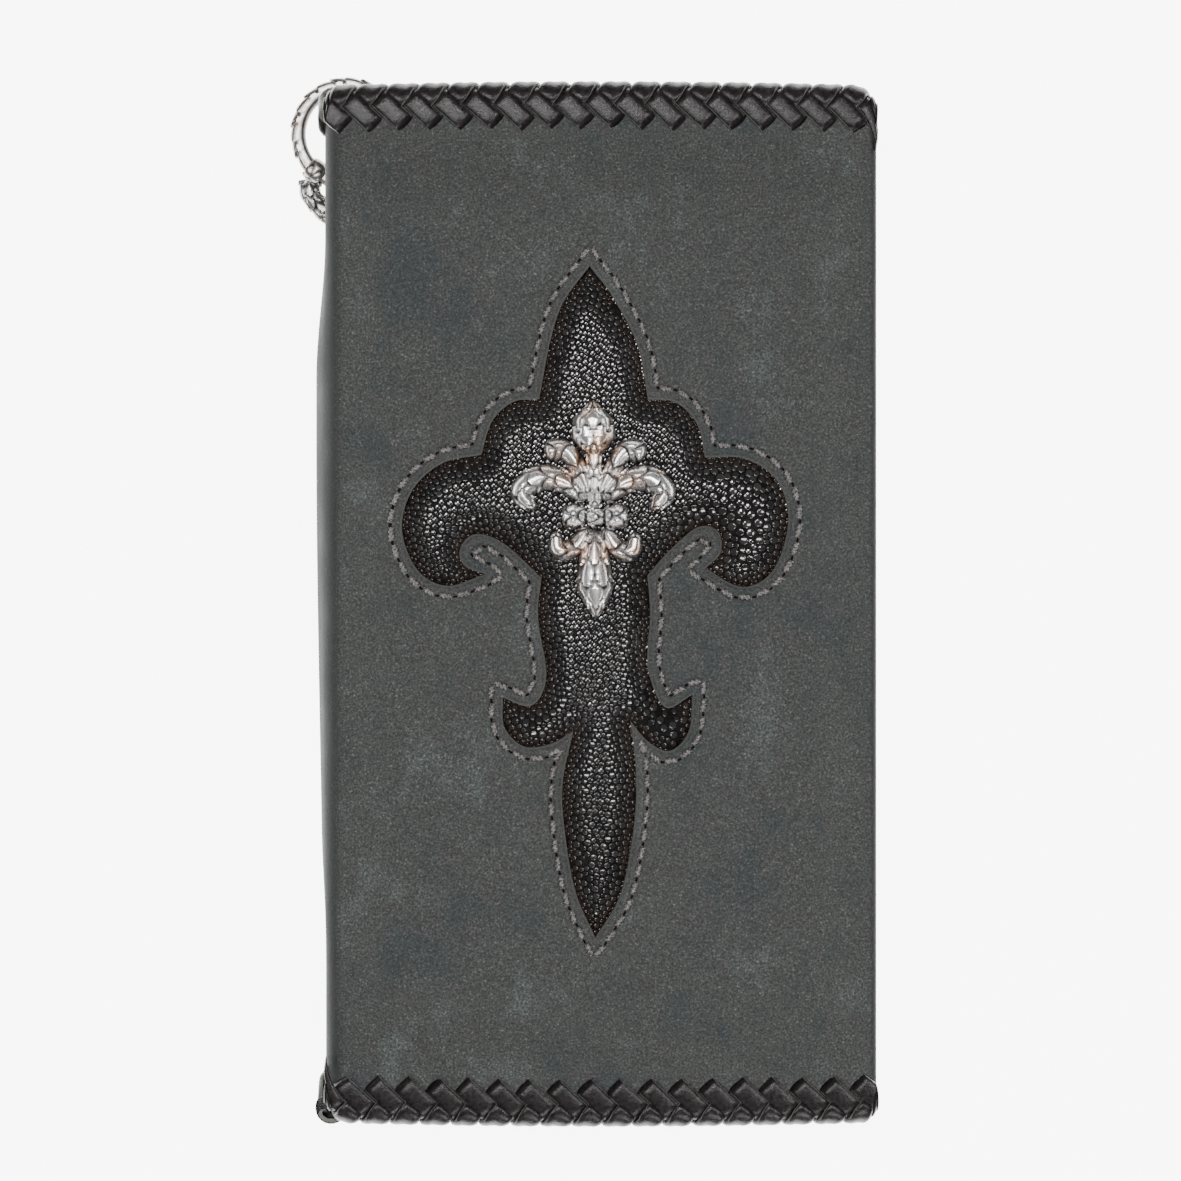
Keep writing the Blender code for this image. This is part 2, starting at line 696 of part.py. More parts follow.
INNER_LEFT = -44.0
INNER_RIGHT = 46.0
INNER_END = HALF_LENGTH - LACE_INNER - GAP
bill_edge = rectangle(INNER_LEFT, INNER_RIGHT, -INNER_END, INNER_END, 2.0)
sheet("front_bill_panel", bill_edge, BILL_PANEL, BILL_PANEL + CARD_LEATHER, SMOOTH_LEATHER, cover_fold)

CARD_STEP = 12.0  # how much of each card pocket shows below the next
CARD_MOUTH = -32.0  # mouth of the pocket nearest the spine
COLUMN_GAP = 1.5
COLUMN_END = 86.0
NOTCH_HALF = 10.0
NOTCH_DEPTH = 4.0
NOTCH_STEPS = 6


def card_pocket(name, mouth, near, far, bottom):
    """A card pocket's leather, with a shallow thumb notch in the middle of its mouth."""
    middle = (near + far) / 2
    notch = []
    for step in range(NOTCH_STEPS + 1):
        turn = math.pi * step / NOTCH_STEPS
        notch.append((mouth + NOTCH_DEPTH * math.sin(turn), middle + NOTCH_HALF * math.cos(turn)))
    edge = [(mouth, near), (INNER_RIGHT, near), (INNER_RIGHT, far), (mouth, far), *notch]
    sheet(name, edge, bottom, bottom + CARD_LEATHER, SMOOTH_LEATHER, cover_fold)


for column, (near, far) in (("upper", (COLUMN_GAP, COLUMN_END)), ("lower", (-COLUMN_END, -COLUMN_GAP))):
    for pocket in range(CARDS_PER_COLUMN):
        mouth = CARD_MOUTH + CARD_STEP * pocket
        bottom = BILL_PANEL - CARD_PITCH * (pocket + 1)
        card_pocket(f"card_pocket_{column}_{pocket + 1}", mouth, near, far, bottom)


# ---------------------------------------------------------------- coin pouch and its zip in the back half

POUCH_HALF_WIDTH = 36.0
POUCH_HALF_LENGTH = 76.0
PANEL_HALF_LENGTH = 84.0
GUSSET = 2.0
pouch_edge = rectangle(-POUCH_HALF_WIDTH, POUCH_HALF_WIDTH, -POUCH_HALF_LENGTH, POUCH_HALF_LENGTH, 4.0)
gusset_hole = rectangle(
    -POUCH_HALF_WIDTH + GUSSET,
    POUCH_HALF_WIDTH - GUSSET,
    -POUCH_HALF_LENGTH + GUSSET,
    POUCH_HALF_LENGTH - GUSSET,
    2.0,
)
zip_slot = rectangle(
    ZIP_X - ZIP_HALF_SLOT,
    ZIP_X + ZIP_HALF_SLOT,
    -ZIP_HALF_LENGTH,
    ZIP_HALF_LENGTH,
    2.0,
)
front_panel_edge = rectangle(INNER_LEFT, INNER_RIGHT, -PANEL_HALF_LENGTH, PANEL_HALF_LENGTH, 3.0)
gusset_bottom = POUCH_REAR + LINING + GAP
sheet("coin_pouch_rear", pouch_edge, POUCH_REAR, POUCH_REAR + LINING, SMOOTH_LEATHER)
sheet(
    "coin_pouch_gusset",
    pouch_edge,
    gusset_bottom,
    POUCH_FRONT - GAP,
    SMOOTH_LEATHER,
    holes=[gusset_hole],
)
sheet(
    "coin_pouch_front",
    front_panel_edge,
    POUCH_FRONT,
    POUCH_FRONT + PANEL,
    SMOOTH_LEATHER,
    holes=[zip_slot],
)

tape_top = POUCH_FRONT - GAP
TEETH_HALF = 1.4
TAPE_REACH = 6.5
STOP_LENGTH = 2.0
teeth_bottom = POUCH_FRONT
TEETH_HEIGHT = 1.4
for side_name, near, far in (
    ("spine_side", ZIP_X - TAPE_REACH, ZIP_X - GAP / 2),
    ("edge_side", ZIP_X + GAP / 2, ZIP_X + TAPE_REACH),
):
    tape_edge = rectangle(near, far, -ZIP_HALF_LENGTH - 4, ZIP_HALF_LENGTH + 4)
    sheet(f"zip_tape_{side_name}", tape_edge, tape_top - ZIP_TAPE, tape_top, ZIP_CLOTH)
teeth_end = ZIP_HALF_LENGTH - STOP_LENGTH - 0.5
teeth_edge = rectangle(ZIP_X - TEETH_HALF, ZIP_X + TEETH_HALF, -teeth_end, teeth_end)
sheet("zip_teeth", teeth_edge, teeth_bottom, teeth_bottom + TEETH_HEIGHT, ZIP_METAL)
for name, end in (("top", 1), ("bottom", -1)):
    low_y, high_y = sorted((end * (teeth_end + GAP), end * (teeth_end + GAP + STOP_LENGTH)))
    stop_edge = rectangle(ZIP_X - TEETH_HALF - 0.4, ZIP_X + TEETH_HALF + 0.4, low_y, high_y)
    sheet(f"zip_{name}_stop", stop_edge, teeth_bottom, teeth_bottom + TEETH_HEIGHT, ZIP_METAL)

slider_bottom = teeth_bottom + 0.2
slider_under = teeth_bottom + TEETH_HEIGHT + GAP
slider_top = slider_under + 1.0
SLIDER_HALF = 3.5
SLIDER_WALL = 1.2
slider_section = [
    (-SLIDER_HALF, slider_bottom),
    (-SLIDER_HALF + SLIDER_WALL, slider_bottom),
    (-SLIDER_HALF + SLIDER_WALL, slider_under),
    (SLIDER_HALF - SLIDER_WALL, slider_under),
    (SLIDER_HALF - SLIDER_WALL, slider_bottom),
    (SLIDER_HALF, slider_bottom),
    (SLIDER_HALF, slider_top),
    (-SLIDER_HALF, slider_top),
]
slider_points, slider_faces = prism_mesh(
    slider_section,
    SLIDER_REST_Y - SLIDER_LENGTH / 2,
    SLIDER_REST_Y + SLIDER_LENGTH / 2,
    lambda x, z, y: (ZIP_X + x, y, z),
)
solid("zip_slider", slider_points, [face[::-1] for face in slider_faces], ZIP_METAL, slider_slide)

STUD_RADIUS = 0.8
PULL_THICKNESS = 0.7
PULL_LENGTH = 16.0
pull_bottom = slider_top + GAP
pull_top = pull_bottom + PULL_THICKNESS
stud_rings = [
    (STUD_RADIUS, slider_top + 0.05),
    (STUD_RADIUS, pull_top + 0.15),
    (STUD_RADIUS * 2, pull_top + 0.15),
    (STUD_RADIUS * 2, pull_top + 0.55),
]
zip_place = (ZIP_X, SLIDER_REST_Y)
solid("pull_stud", *capped_turn(stud_rings, zip_place, 14), ZIP_METAL, slider_slide)
pull_edge = rectangle(ZIP_X - 2.5, ZIP_X + 2.5, SLIDER_REST_Y - PULL_LENGTH, SLIDER_REST_Y + 2.5, 2.2)
pull_hole = circle(zip_place, STUD_RADIUS + 0.35, 12)
sheet("zip_pull", pull_edge, pull_bottom, pull_top, ZIP_METAL, pull_swing, holes=[pull_hole])


# ---------------------------------------------------------------- chain ring, bail and its plate

ring_profile = [
    (RING_INNER, RING_BOTTOM),
    (RING_OUTER - 0.4, RING_BOTTOM),
    (RING_OUTER, RING_BOTTOM + 0.7),
    (RING_OUTER, RING_TOP - 0.7),
    (RING_OUTER - 0.4, RING_TOP),
    (RING_INNER, RING_TOP),
]
solid("chain_ring", *turned_mesh(ring_profile, RING_PLACE, 40), OXIDISED_SILVER, ring_turn)

outwards = np.array([math.cos(BAIL_EYE_TURN), math.sin(BAIL_EYE_TURN)])
tangent = np.array([-outwards[1], outwards[0]])
eye_inner = (RING_INNER - EYE_PLAY, RING_OUTER + EYE_PLAY)
eye_low = RING_BOTTOM - RUNNING_PLAY
eye_high = RING_TOP + RUNNING_PLAY


def by_ring(out, along):
    """A place that far out from the ring's centre through the eye, and that far along the ring."""
    return tuple(np.array(RING_PLACE) + outwards * out + tangent * along)


def eye_loop(grow, along):
    """The four corners of the eye's section, grown outwards by a wall."""
    outs = (eye_inner[0] - grow, eye_inner[1] + grow)
    heights = (eye_low - grow, eye_high + grow)
    corners = [(outs[0], heights[0]), (outs[1], heights[0]), (outs[1], heights[1]), (outs[0], heights[1])]
    return [(*by_ring(out, along), height) for out, height in corners]


def eye_mesh():
    """A square loop that stands round the ring's band."""
    points = []
    for along in (-EYE_HALF_LENGTH, EYE_HALF_LENGTH):
        points += eye_loop(EYE_WALL, along) + eye_loop(0.0, along)
    faces = []
    for i in range(4):
        j = (i + 1) % 4
        faces.append((i, j, 4 + j, 4 + i))
        faces.append((8 + i, 12 + i, 12 + j, 8 + j))
        faces.append((i, 8 + i, 8 + j, j))
        faces.append((4 + i, 4 + j, 12 + j, 12 + i))
    return points, faces


KNUCKLE_RADIUS = 2.3
ARM_HALF = 1.5
ARM_BOTTOM, ARM_TOP = 1.1, 3.7
arm_line = curve_through([by_ring(eye_inner[1] + 0.4, 0.0), (-54.3, 76.6), (-51.6, 73.6), BAIL_PLACE], 3)
arm_along = np.gradient(arm_line, axis=0)
arm_along /= np.linalg.norm(arm_along, axis=1)[:, None]
arm_side = np.column_stack([-arm_along[:, 1], arm_along[:, 0]]) * ARM_HALF
arm_stop = -2  # the arm ends inside the knuckle's wall, short of the pin
arm_edge = [tuple(p) for p in (arm_line - arm_side)[:arm_stop]]
arm_edge += [tuple(p) for p in (arm_line + arm_side)[:arm_stop][::-1]]
knuckle_bottom, knuckle_top = ARM_BOTTOM - 0.1, ARM_TOP + 0.1
knuckle_profile = [
    (PIN_RADIUS + RUNNING_PLAY, knuckle_bottom),
    (KNUCKLE_RADIUS, knuckle_bottom),
    (KNUCKLE_RADIUS, knuckle_top),
    (PIN_RADIUS + RUNNING_PLAY, knuckle_top),
]
bail = solid("chain_bail", *eye_mesh(), OXIDISED_SILVER, bail_swing)
arm_mesh = sheet_mesh(arm_edge, level(ARM_BOTTOM), level(ARM_TOP))
merge(bail, [arm_mesh, turned_mesh(knuckle_profile, BAIL_PLACE, 20)])

PLATE_BOTTOM, PLATE_TOP = 4.6, 5.4
plate_edge = rectangle(-50.2, -45.2, 68.2, 76.2, 1.2)
RIVET_PLACES = [(-47.0, 69.8), (-47.0, 75.0)]
rivet_holes = [circle(place, 0.9, 10) for place in RIVET_PLACES]
sheet("bail_plate", plate_edge, PLATE_BOTTOM, PLATE_TOP, OXIDISED_SILVER, holes=rivet_holes)
RIVET_HEAD = 1.2
RIVET_SHANK = 0.6
rivet_rings = [
    (RIVET_HEAD, PLATE_BOTTOM - 0.6),
    (RIVET_HEAD, PLATE_BOTTOM - 0.1),
    (RIVET_SHANK, PLATE_BOTTOM - 0.1),
    (RIVET_SHANK, PLATE_TOP),
]
for name, place in zip(("lower", "upper"), RIVET_PLACES):
    solid(f"bail_rivet_{name}", *capped_turn(rivet_rings, place, 12), OXIDISED_SILVER)
PIN_HEAD = 1.9
PIN_HEAD_BOTTOM, PIN_HEAD_TOP = 0.2, 0.8
pin_rings = [
    (PIN_HEAD, PIN_HEAD_BOTTOM),
    (PIN_HEAD, PIN_HEAD_TOP),
    (PIN_RADIUS, PIN_HEAD_TOP),
    (PIN_RADIUS, PLATE_BOTTOM - 0.15),
]
solid("bail_pin", *capped_turn(pin_rings, BAIL_PLACE, 16), OXIDISED_SILVER)
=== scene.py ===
import math

import bpy
import numpy as np
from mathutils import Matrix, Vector
from mathutils.geometry import delaunay_2d_cdt


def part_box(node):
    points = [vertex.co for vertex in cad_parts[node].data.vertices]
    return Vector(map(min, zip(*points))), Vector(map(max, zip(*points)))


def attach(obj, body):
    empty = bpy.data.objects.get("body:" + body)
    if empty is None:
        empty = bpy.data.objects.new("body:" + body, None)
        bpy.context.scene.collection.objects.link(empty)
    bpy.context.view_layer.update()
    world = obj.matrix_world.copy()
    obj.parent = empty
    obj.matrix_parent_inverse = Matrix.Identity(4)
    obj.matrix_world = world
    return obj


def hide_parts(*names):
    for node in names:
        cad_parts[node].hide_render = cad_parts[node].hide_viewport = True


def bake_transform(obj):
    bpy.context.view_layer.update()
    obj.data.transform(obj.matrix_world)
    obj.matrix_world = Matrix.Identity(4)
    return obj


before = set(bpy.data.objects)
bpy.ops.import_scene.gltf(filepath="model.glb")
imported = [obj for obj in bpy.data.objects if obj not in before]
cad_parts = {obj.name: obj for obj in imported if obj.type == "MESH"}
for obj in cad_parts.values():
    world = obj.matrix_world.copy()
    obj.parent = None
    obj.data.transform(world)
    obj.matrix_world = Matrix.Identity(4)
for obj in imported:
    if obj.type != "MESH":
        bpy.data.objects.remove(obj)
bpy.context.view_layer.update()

MM = 0.001

# ------------------------------------------------------------------ studio
# A pale lit table, soft boxes round it and a camera straight above the closed wallet. The box over the
# camera gives each bead and each facet of the silver its bright spot.
CAMERA_AIM = (-1.9, 2.45)
CAMERA_DISTANCE = 650.0  # from the flat of the front cover
FRAMED_WIDTH = 214.1  # at that flat
SENSOR = 36.0
FRONT_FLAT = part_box("inlay_stitching")[0].z / MM - 0.05


def add(tree, kind, inputs=None, **settings):
    """A node of that kind. Settings are its properties, and inputs its sockets' values or what they are
    linked to."""
    made = tree.nodes.new(kind)
    for key, value in settings.items():
        setattr(made, key, value)
    for key, value in (inputs or {}).items():
        if isinstance(value, bpy.types.NodeSocket):
            tree.links.new(value, made.inputs[key])
        else:
            made.inputs[key].default_value = value
    return made


def finish_of(name, **constants):
    """A new material and its Principled BSDF. Constants are that shader's values, with _ for a space."""
    material = bpy.data.materials.new(name)
    material.use_nodes = True
    shader = material.node_tree.nodes["Principled BSDF"]
    for key, value in constants.items():
        shader.inputs[key.replace("_", " ")].default_value = value
    return material, material.node_tree, shader


def soft_box(name, place, size, power):
    """A rectangular lamp that points at the wallet, with its place and size in millimetres."""
    lamp = bpy.data.lights.new(name, "AREA")
    lamp.shape = "RECTANGLE"
    lamp.size, lamp.size_y = size[0] * MM, size[1] * MM
    lamp.energy = power
    holder = bpy.data.objects.new(name, lamp)
    holder.location = Vector(place) * MM
    holder.rotation_euler = (-Vector(place)).to_track_quat("-Z", "Y").to_euler()
    bpy.context.scene.collection.objects.link(holder)


TABLE_REACH = 4.0  # in metres, either way
table_corners = [(x * TABLE_REACH, y * TABLE_REACH, 0) for x, y in ((-1, -1), (1, -1), (1, 1), (-1, 1))]
table_mesh = bpy.data.meshes.new("table")
table_mesh.from_pydata(table_corners, [], [(0, 1, 2, 3)])
table = bpy.data.objects.new("table", table_mesh)
bpy.context.scene.collection.objects.link(table)
lit_table = finish_of("lit_table", Base_Color=(0.9, 0.9, 0.9, 1), Roughness=0.9,
                      Emission_Color=(1, 1, 1, 1), Emission_Strength=7.0)[0]
table_mesh.materials.append(lit_table)

world = bpy.data.worlds.new("studio")
world.use_nodes = True
world.node_tree.nodes["Background"].inputs["Color"].default_value = (0.95, 0.98, 1.0, 1.0)
world.node_tree.nodes["Background"].inputs["Strength"].default_value = 0.2
bpy.context.scene.world = world
soft_box("overhead_box", (-60, 240, 880), (150, 150), 4.0)
soft_box("left_box", (-350, 60, 800), (130, 400), 3.4)
soft_box("right_box", (370, 20, 800), (130, 400), 3.6)
soft_box("near_box", (120, -640, 560), (420, 130), 3.6)

camera_data = bpy.data.cameras.new("camera")
camera_data.sensor_width = SENSOR
camera_data.lens = SENSOR * CAMERA_DISTANCE / FRAMED_WIDTH
camera = bpy.data.objects.new("camera", camera_data)
camera.location = Vector((*CAMERA_AIM, FRONT_FLAT + CAMERA_DISTANCE)) * MM
bpy.context.scene.collection.objects.link(camera)
bpy.context.scene.camera = camera


# ------------------------------------------------------------------ case leather
# One hide of slate nubuck, 1.8 mm thick, bent round the spine and turned in at both free edges. It is
# made as a front and a back sheet that meet half way down the spine.
LEATHER = 1.8
SKIVED = 0.95  # its thickness where it is folded over at the free edge
SPINE_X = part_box("spine_leather")[0].x / MM
EDGE_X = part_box("front_cover")[1].x / MM
CASE_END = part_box("front_cover")[1].y / MM
LACED_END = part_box("front_lacing_upper")[1].y / MM
GLUE_GAP = 0.3  # between the leather and what is glued inside it
FRONT_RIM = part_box("front_lining")[1].z / MM + GLUE_GAP + LEATHER  # outer faces of the two rims
BACK_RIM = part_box("spine_leather")[0].z / MM - GLUE_GAP - LEATHER
MID_SPINE = (FRONT_RIM + BACK_RIM) / 2
FRONT_SHAPE = {"sides": (1.5, 13.0), "ends": (7.5, 26.0), "rise": FRONT_FLAT - FRONT_RIM}
BACK_SHAPE = {"sides": (4.0, 18.0), "ends": (10.0, 24.0), "rise": BACK_RIM}
SPINE_BEND = 3.6  # radius of the bend from a cover into the spine
FOLD_RADIUS = 1.45
HEM = 8.0  # width of the turned-in leather
SKIVE_START, SKIVE_STOP = 5.0, 1.0  # how far before the fold the leather thins
FREE_CORNER, SPINE_CORNER = 4.4, 3.0
SPINE_BULGE = 2.2  # how far the middle of the spine stands out
END_BOW = 0.7  # how much shorter the case is at its long sides


def smooth(value, start, stop):
    """A smooth step from 0 at start to 1 at stop."""
    share = np.clip((value - start) / (stop - start), 0, 1)
    return share * share * (3 - 2 * share)


def crown(x, y, sides, ends, rise):
    """How far a cover stands proud of its rim: nothing along the rim and its full rise on the flat, with
    smooth shoulders that start and stop at those distances in from the sides and ends."""
    return rise * smooth(EDGE_X - abs(x), *sides) * smooth(LACED_END - abs(y), *ends)


def corner_inset(y, radius):
    """How far a long side has drawn in at y, round a corner of that radius."""
    into = np.clip(abs(y) - (CASE_END - radius), 0, radius)
    return radius - np.sqrt(radius**2 - into**2)


def section_path(lengths, turns):
    """A section as a path of spans. Its direction turns evenly along each span, from one of the turns (in
    degrees) to the next, and its place is the sum of its steps."""
    marks = np.cumsum([0.0, *lengths])
    along = np.linspace(0, marks[-1], 4000)
    turn = np.interp(along, marks, np.radians(turns))
    step = np.diff(along, prepend=0.0)
    across = np.cumsum(np.cos(turn) * step)
    up = np.cumsum(np.sin(turn) * step)
    return marks, along, turn, across, up


def cover_path(rim):
    """The section path of one half of the case: up the spine, round its bend, across the cover, round the
    fold and back along the hem."""
    half_height = abs(rim - MID_SPINE)
    reach = EDGE_X - SPINE_X - SPINE_BEND - FOLD_RADIUS
    lengths = (half_height - SPINE_BEND, SPINE_BEND * math.pi / 2, reach, FOLD_RADIUS * math.pi, HEM)
    return section_path(lengths, (90, 90, 0, 0, -180, -180))


def case_face(path, rim, shape, plan, depth):
    """Points of a half of the case at plan places (distance along the section, y), that deep under its
    outer face.

    The section's path gives x, height and normal; the crown, the spine's bulge and the rounded corners
    move them.
    """
    marks, along, turn, across, up = path
    s, y = plan[:, 0], plan[:, 1]
    side = 1 if rim > MID_SPINE else -1
    angle = np.interp(s, along, turn)
    x = SPINE_X + np.interp(s, along, across) + depth * np.sin(angle)
    rise = np.interp(s, along, up) - depth * np.cos(angle)
    hem_follows = 1.0 if side < 0 else 0.0
    proud = crown(x, y, **shape) * np.where(s < marks[4] - 1e-6, 1.0, hem_follows)
    z = MID_SPINE + side * (rise + proud)
    bulge = SPINE_BULGE * (0.35 + 0.65 * smooth(y, -80, 30)) * (1 - 0.78 * smooth(abs(y), 42, 68))
    x = x - bulge * np.cos(np.clip(rise / abs(rim - MID_SPINE), 0, 1) * math.pi / 2) ** 2 * (x < 0)
    x = x - corner_inset(y, FREE_CORNER) * smooth(x, 10, EDGE_X - 1)
    x = x + corner_inset(y, SPINE_CORNER) * smooth(-x, 10, -SPINE_X - 1)
    y = y * (1 - END_BOW / CASE_END * (x / EDGE_X) ** 2)
    return np.column_stack([x, y, z])


def inside(points, loop):
    """Which points lie inside a closed loop, by counting the loop's crossings to the right of each."""
    px, py = points[:, 0, None], points[:, 1, None]
    ax, ay = np.array(loop).T
    bx, by = np.roll(ax, -1), np.roll(ay, -1)
    spans = (ay > py) != (by > py)
    meets = ax + (py - ay) * (bx - ax) / np.where(by == ay, 1.0, by - ay)
    return (spans & (meets > px)).sum(axis=1) % 2 == 1


def distance(points, loop):
    """How far each point is from a closed loop."""
    a = np.array(loop)
    run = np.roll(a, -1, axis=0) - a
    away = points[:, None] - a
    share = np.clip((away * run).sum(2) / (run * run).sum(1), 0, 1)
    return np.linalg.norm(away - share[..., None] * run, axis=2).min(axis=1)


def grid_of(xs, ys):
    """Every pair of an x and a y, as rows."""
    return np.array(np.meshgrid(xs, ys)).reshape(2, -1).T


def plan_mesh(edge, grid, holes=(), creases=(), clearance=0.4):
    """Places and triangles that fill an outline round its holes. Its triangles have the corners of the
    outline, the holes and the creases, and the points of the grid that keep clear of them."""
    loops = [np.array(loop) for loop in (edge, *holes, *creases)]
    clear = inside(grid, edge) & (distance(grid, edge) > clearance)
    for hole in holes:
        clear &= ~inside(grid, hole)
    for loop in loops[1:]:
        near = np.where(clear)[0]
        clear[near[distance(grid[near], loop) <= clearance]] = False
    corners = np.vstack([*loops, grid[clear]])
    constraints, start = [], 0
    for loop in loops:
        ring = np.arange(len(loop)) + start
        constraints += np.column_stack([ring, np.roll(ring, -1)]).tolist()
        start += len(loop)
    found, _, triangles, *_ = delaunay_2d_cdt([Vector(p) for p in corners], constraints, [], 0, 1e-6)
    plan = np.array([place[:] for place in found])
    triangles = np.array(triangles)
    middles = plan[triangles].mean(axis=1)
    kept = inside(middles, edge)
    for hole in holes:
        kept &= ~inside(middles, hole)
    triangles = triangles[kept]
    a, b, c = (plan[triangles[:, i]] for i in range(3))
    turned = (b[:, 0] - a[:, 0]) * (c[:, 1] - a[:, 1]) < (b[:, 1] - a[:, 1]) * (c[:, 0] - a[:, 0])
    triangles[turned] = triangles[turned][:, ::-1]
    return plan, triangles


def shell_faces(count, triangles):
    """Faces of a closed sheet: its outer triangles, the same ones turned round on its inner side, and the
    walls round every open side of them."""
    sides = triangles[:, [0, 1, 1, 2, 2, 0]].reshape(-1, 2)
    forward = sides[:, 0] * count + sides[:, 1]
    back = sides[:, 1] * count + sides[:, 0]
    a, b = sides[~np.isin(forward, back)].T
    return [triangles, triangles[:, ::-1] + count, np.column_stack([b, a, a + count, b + count])]


def two_faces(plan, top, base):
    """Points of a sheet: its plan places at the height of its outer face, then of its inner one."""
    return np.vstack([np.column_stack([plan, top]), np.column_stack([plan, base])])


def piece(name, points, faces, material, across=None, marks=None, sharp=40.0):
    """A named mesh from points in millimetres and arrays of faces, turned outwards as a whole.

    Across is each point's place in the UV map, and marks are named values for each point.
    """
    points = np.asarray(points, float)
    volume = 0.0
    for part in faces:
        for i in range(1, part.shape[1] - 1):
            a, b, c = points[part[:, 0]], points[part[:, i]], points[part[:, i + 1]]
            volume += (a * np.cross(b, c)).sum()
    if volume < 0:
        faces = [part[:, ::-1] for part in faces]
    corners = np.concatenate([part.ravel() for part in faces]).astype(np.int32)
    sizes = np.concatenate([np.full(len(part), part.shape[1]) for part in faces])
    mesh = bpy.data.meshes.new(name)
    mesh.vertices.add(len(points))
    mesh.vertices.foreach_set("co", (points * MM).astype(np.float32).ravel())
    mesh.loops.add(len(corners))
    mesh.loops.foreach_set("vertex_index", corners)
    mesh.polygons.add(len(sizes))
    mesh.polygons.foreach_set("loop_start", (np.cumsum(sizes) - sizes).astype(np.int32))
    if across is not None:
        layer = mesh.uv_layers.new(name="UVMap")
        layer.data.foreach_set("uv", np.asarray(across)[corners].astype(np.float32).ravel())
    for key, values in (marks or {}).items():
        mesh.attributes.new(key, "FLOAT", "POINT").data.foreach_set("value", np.asarray(values, np.float32))
    mesh.update(calc_edges=True)
    mesh.shade_smooth()
    mesh.set_sharp_from_angle(angle=math.radians(sharp))
    mesh.materials.append(material)
    made = bpy.data.objects.new(name, mesh)
    bpy.context.scene.collection.objects.link(made)
    return made


def group_of(name, inputs, outputs):
    """A new shader node group with those float inputs, and its input and output nodes. Outputs pairs names
    with socket kinds."""
    group = bpy.data.node_groups.new(name, "ShaderNodeTree")
    for key, value in inputs.items():
        group.interface.new_socket(key, in_out="INPUT", socket_type="NodeSocketFloat").default_value = value
    for key, kind in outputs.items():
        group.interface.new_socket(key, in_out="OUTPUT", socket_type="NodeSocket" + kind)
    return group, group.nodes.new("NodeGroupInput"), group.nodes.new("NodeGroupOutput")


def noise(tree, place, scale, detail=2.0, rough=0.5):
    """A noise texture's Factor output at a place. Scale is in waves a metre."""
    inputs = {"Vector": place, "Scale": scale, "Detail": detail, "Roughness": rough}
    return add(tree, "ShaderNodeTexNoise", inputs).outputs["Fac"]


def cells(tree, place, scale):
    """A Voronoi texture's distance from the middle of each cell."""
    return add(tree, "ShaderNodeTexVoronoi", {"Vector": place, "Scale": scale}).outputs["Distance"]


def own_place(tree):
    """A piece's own coordinates, in metres."""
    return add(tree, "ShaderNodeTexCoord").outputs["Object"]


def drawn_out(tree, place, share):
    """Coordinates that stretch a pattern along y, to 1 / share of its length."""
    return add(tree, "ShaderNodeMapping", {"Vector": place, "Scale": (1.0, share, 1.0)}).outputs[0]


def mark_of(tree, name):
    """The named values that a mesh carries at its points."""
    return add(tree, "ShaderNodeAttribute", attribute_name=name).outputs["Fac"]


def feed(tree, node, **values):
    """Links values to a node's inputs, named with _ for a space."""
    for key, value in values.items():
        tree.links.new(value, node.inputs[key.replace("_", " ")])


def grey(value):
    """A grey as a colour."""
    return (value,) * 3


def ramp(tree, value, stops):
    """A smooth colour ramp. Stops are (place, colour) pairs."""
    made = add(tree, "ShaderNodeValToRGB", {"Fac": value})
    made.color_ramp.interpolation = "EASE"
    while len(made.color_ramp.elements) < len(stops):
        made.color_ramp.elements.new(1.0)
    for element, (place, colour) in zip(made.color_ramp.elements, stops):
        element.position = place
        element.color = (*colour, 1.0)
    return made.outputs["Color"]


def math_of(tree, operation, first, second=0.0, clamp=False):
    """A Math node's output."""
    made = add(tree, "ShaderNodeMath", {0: first, 1: second}, operation=operation, use_clamp=clamp)
    return made.outputs[0]


def plus(tree, first, second, weight):
    """The first value and that much of the second."""
    return math_of(tree, "ADD", first, math_of(tree, "MULTIPLY", second, weight))


def mixed(tree, share, first, second, blend="MIX"):
    """Two colours mixed by a share."""
    made = add(tree, "ShaderNodeMix", data_type="RGBA", blend_type=blend)
    for key, value in ((0, share), (6, first), (7, second)):
        if isinstance(value, bpy.types.NodeSocket):
            tree.links.new(value, made.inputs[key])
        else:
            made.inputs[key].default_value = (*value, 1.0) if isinstance(value, tuple) else value
    return made.outputs[2]


nap, nap_in, nap_out = group_of(
    "brushed_nap", {"Grain": 2600.0, "Cloud": 60.0}, {"Cloud": "Float", "Speck": "Float", "Height": "Float"}
)
nap_place = own_place(nap)
nap_cloud = noise(nap, nap_place, nap_in.outputs["Cloud"], 5.0, 0.62)
nap_streak = noise(nap, drawn_out(nap, nap_place, 0.35), 260.0, 3.0)
nap_fine = noise(nap, nap_place, nap_in.outputs["Grain"], 3.0, 0.7)
nap_pores = cells(nap, nap_place, 1500.0)
feed(nap, nap_out, Cloud=plus(nap, math_of(nap, "MULTIPLY", nap_cloud, 0.72), nap_streak, 0.28))
feed(nap, nap_out, Speck=nap_fine)
feed(nap, nap_out, Height=plus(nap, nap_fine, nap_pores, 0.35))


def place_group(tree, group, **inputs):
    """The outputs of a node group placed in a tree, with its own values or links."""
    return add(tree, "ShaderNodeGroup", inputs, node_tree=group).outputs


def bumped(tree, shader, height, strength, depth):
    """Links a height to the shader's normal through a Bump node. Depth is in millimetres."""
    bump = add(tree, "ShaderNodeBump", {"Height": height, "Strength": strength, "Distance": depth * MM})
    tree.links.new(bump.outputs["Normal"], shader.inputs["Normal"])


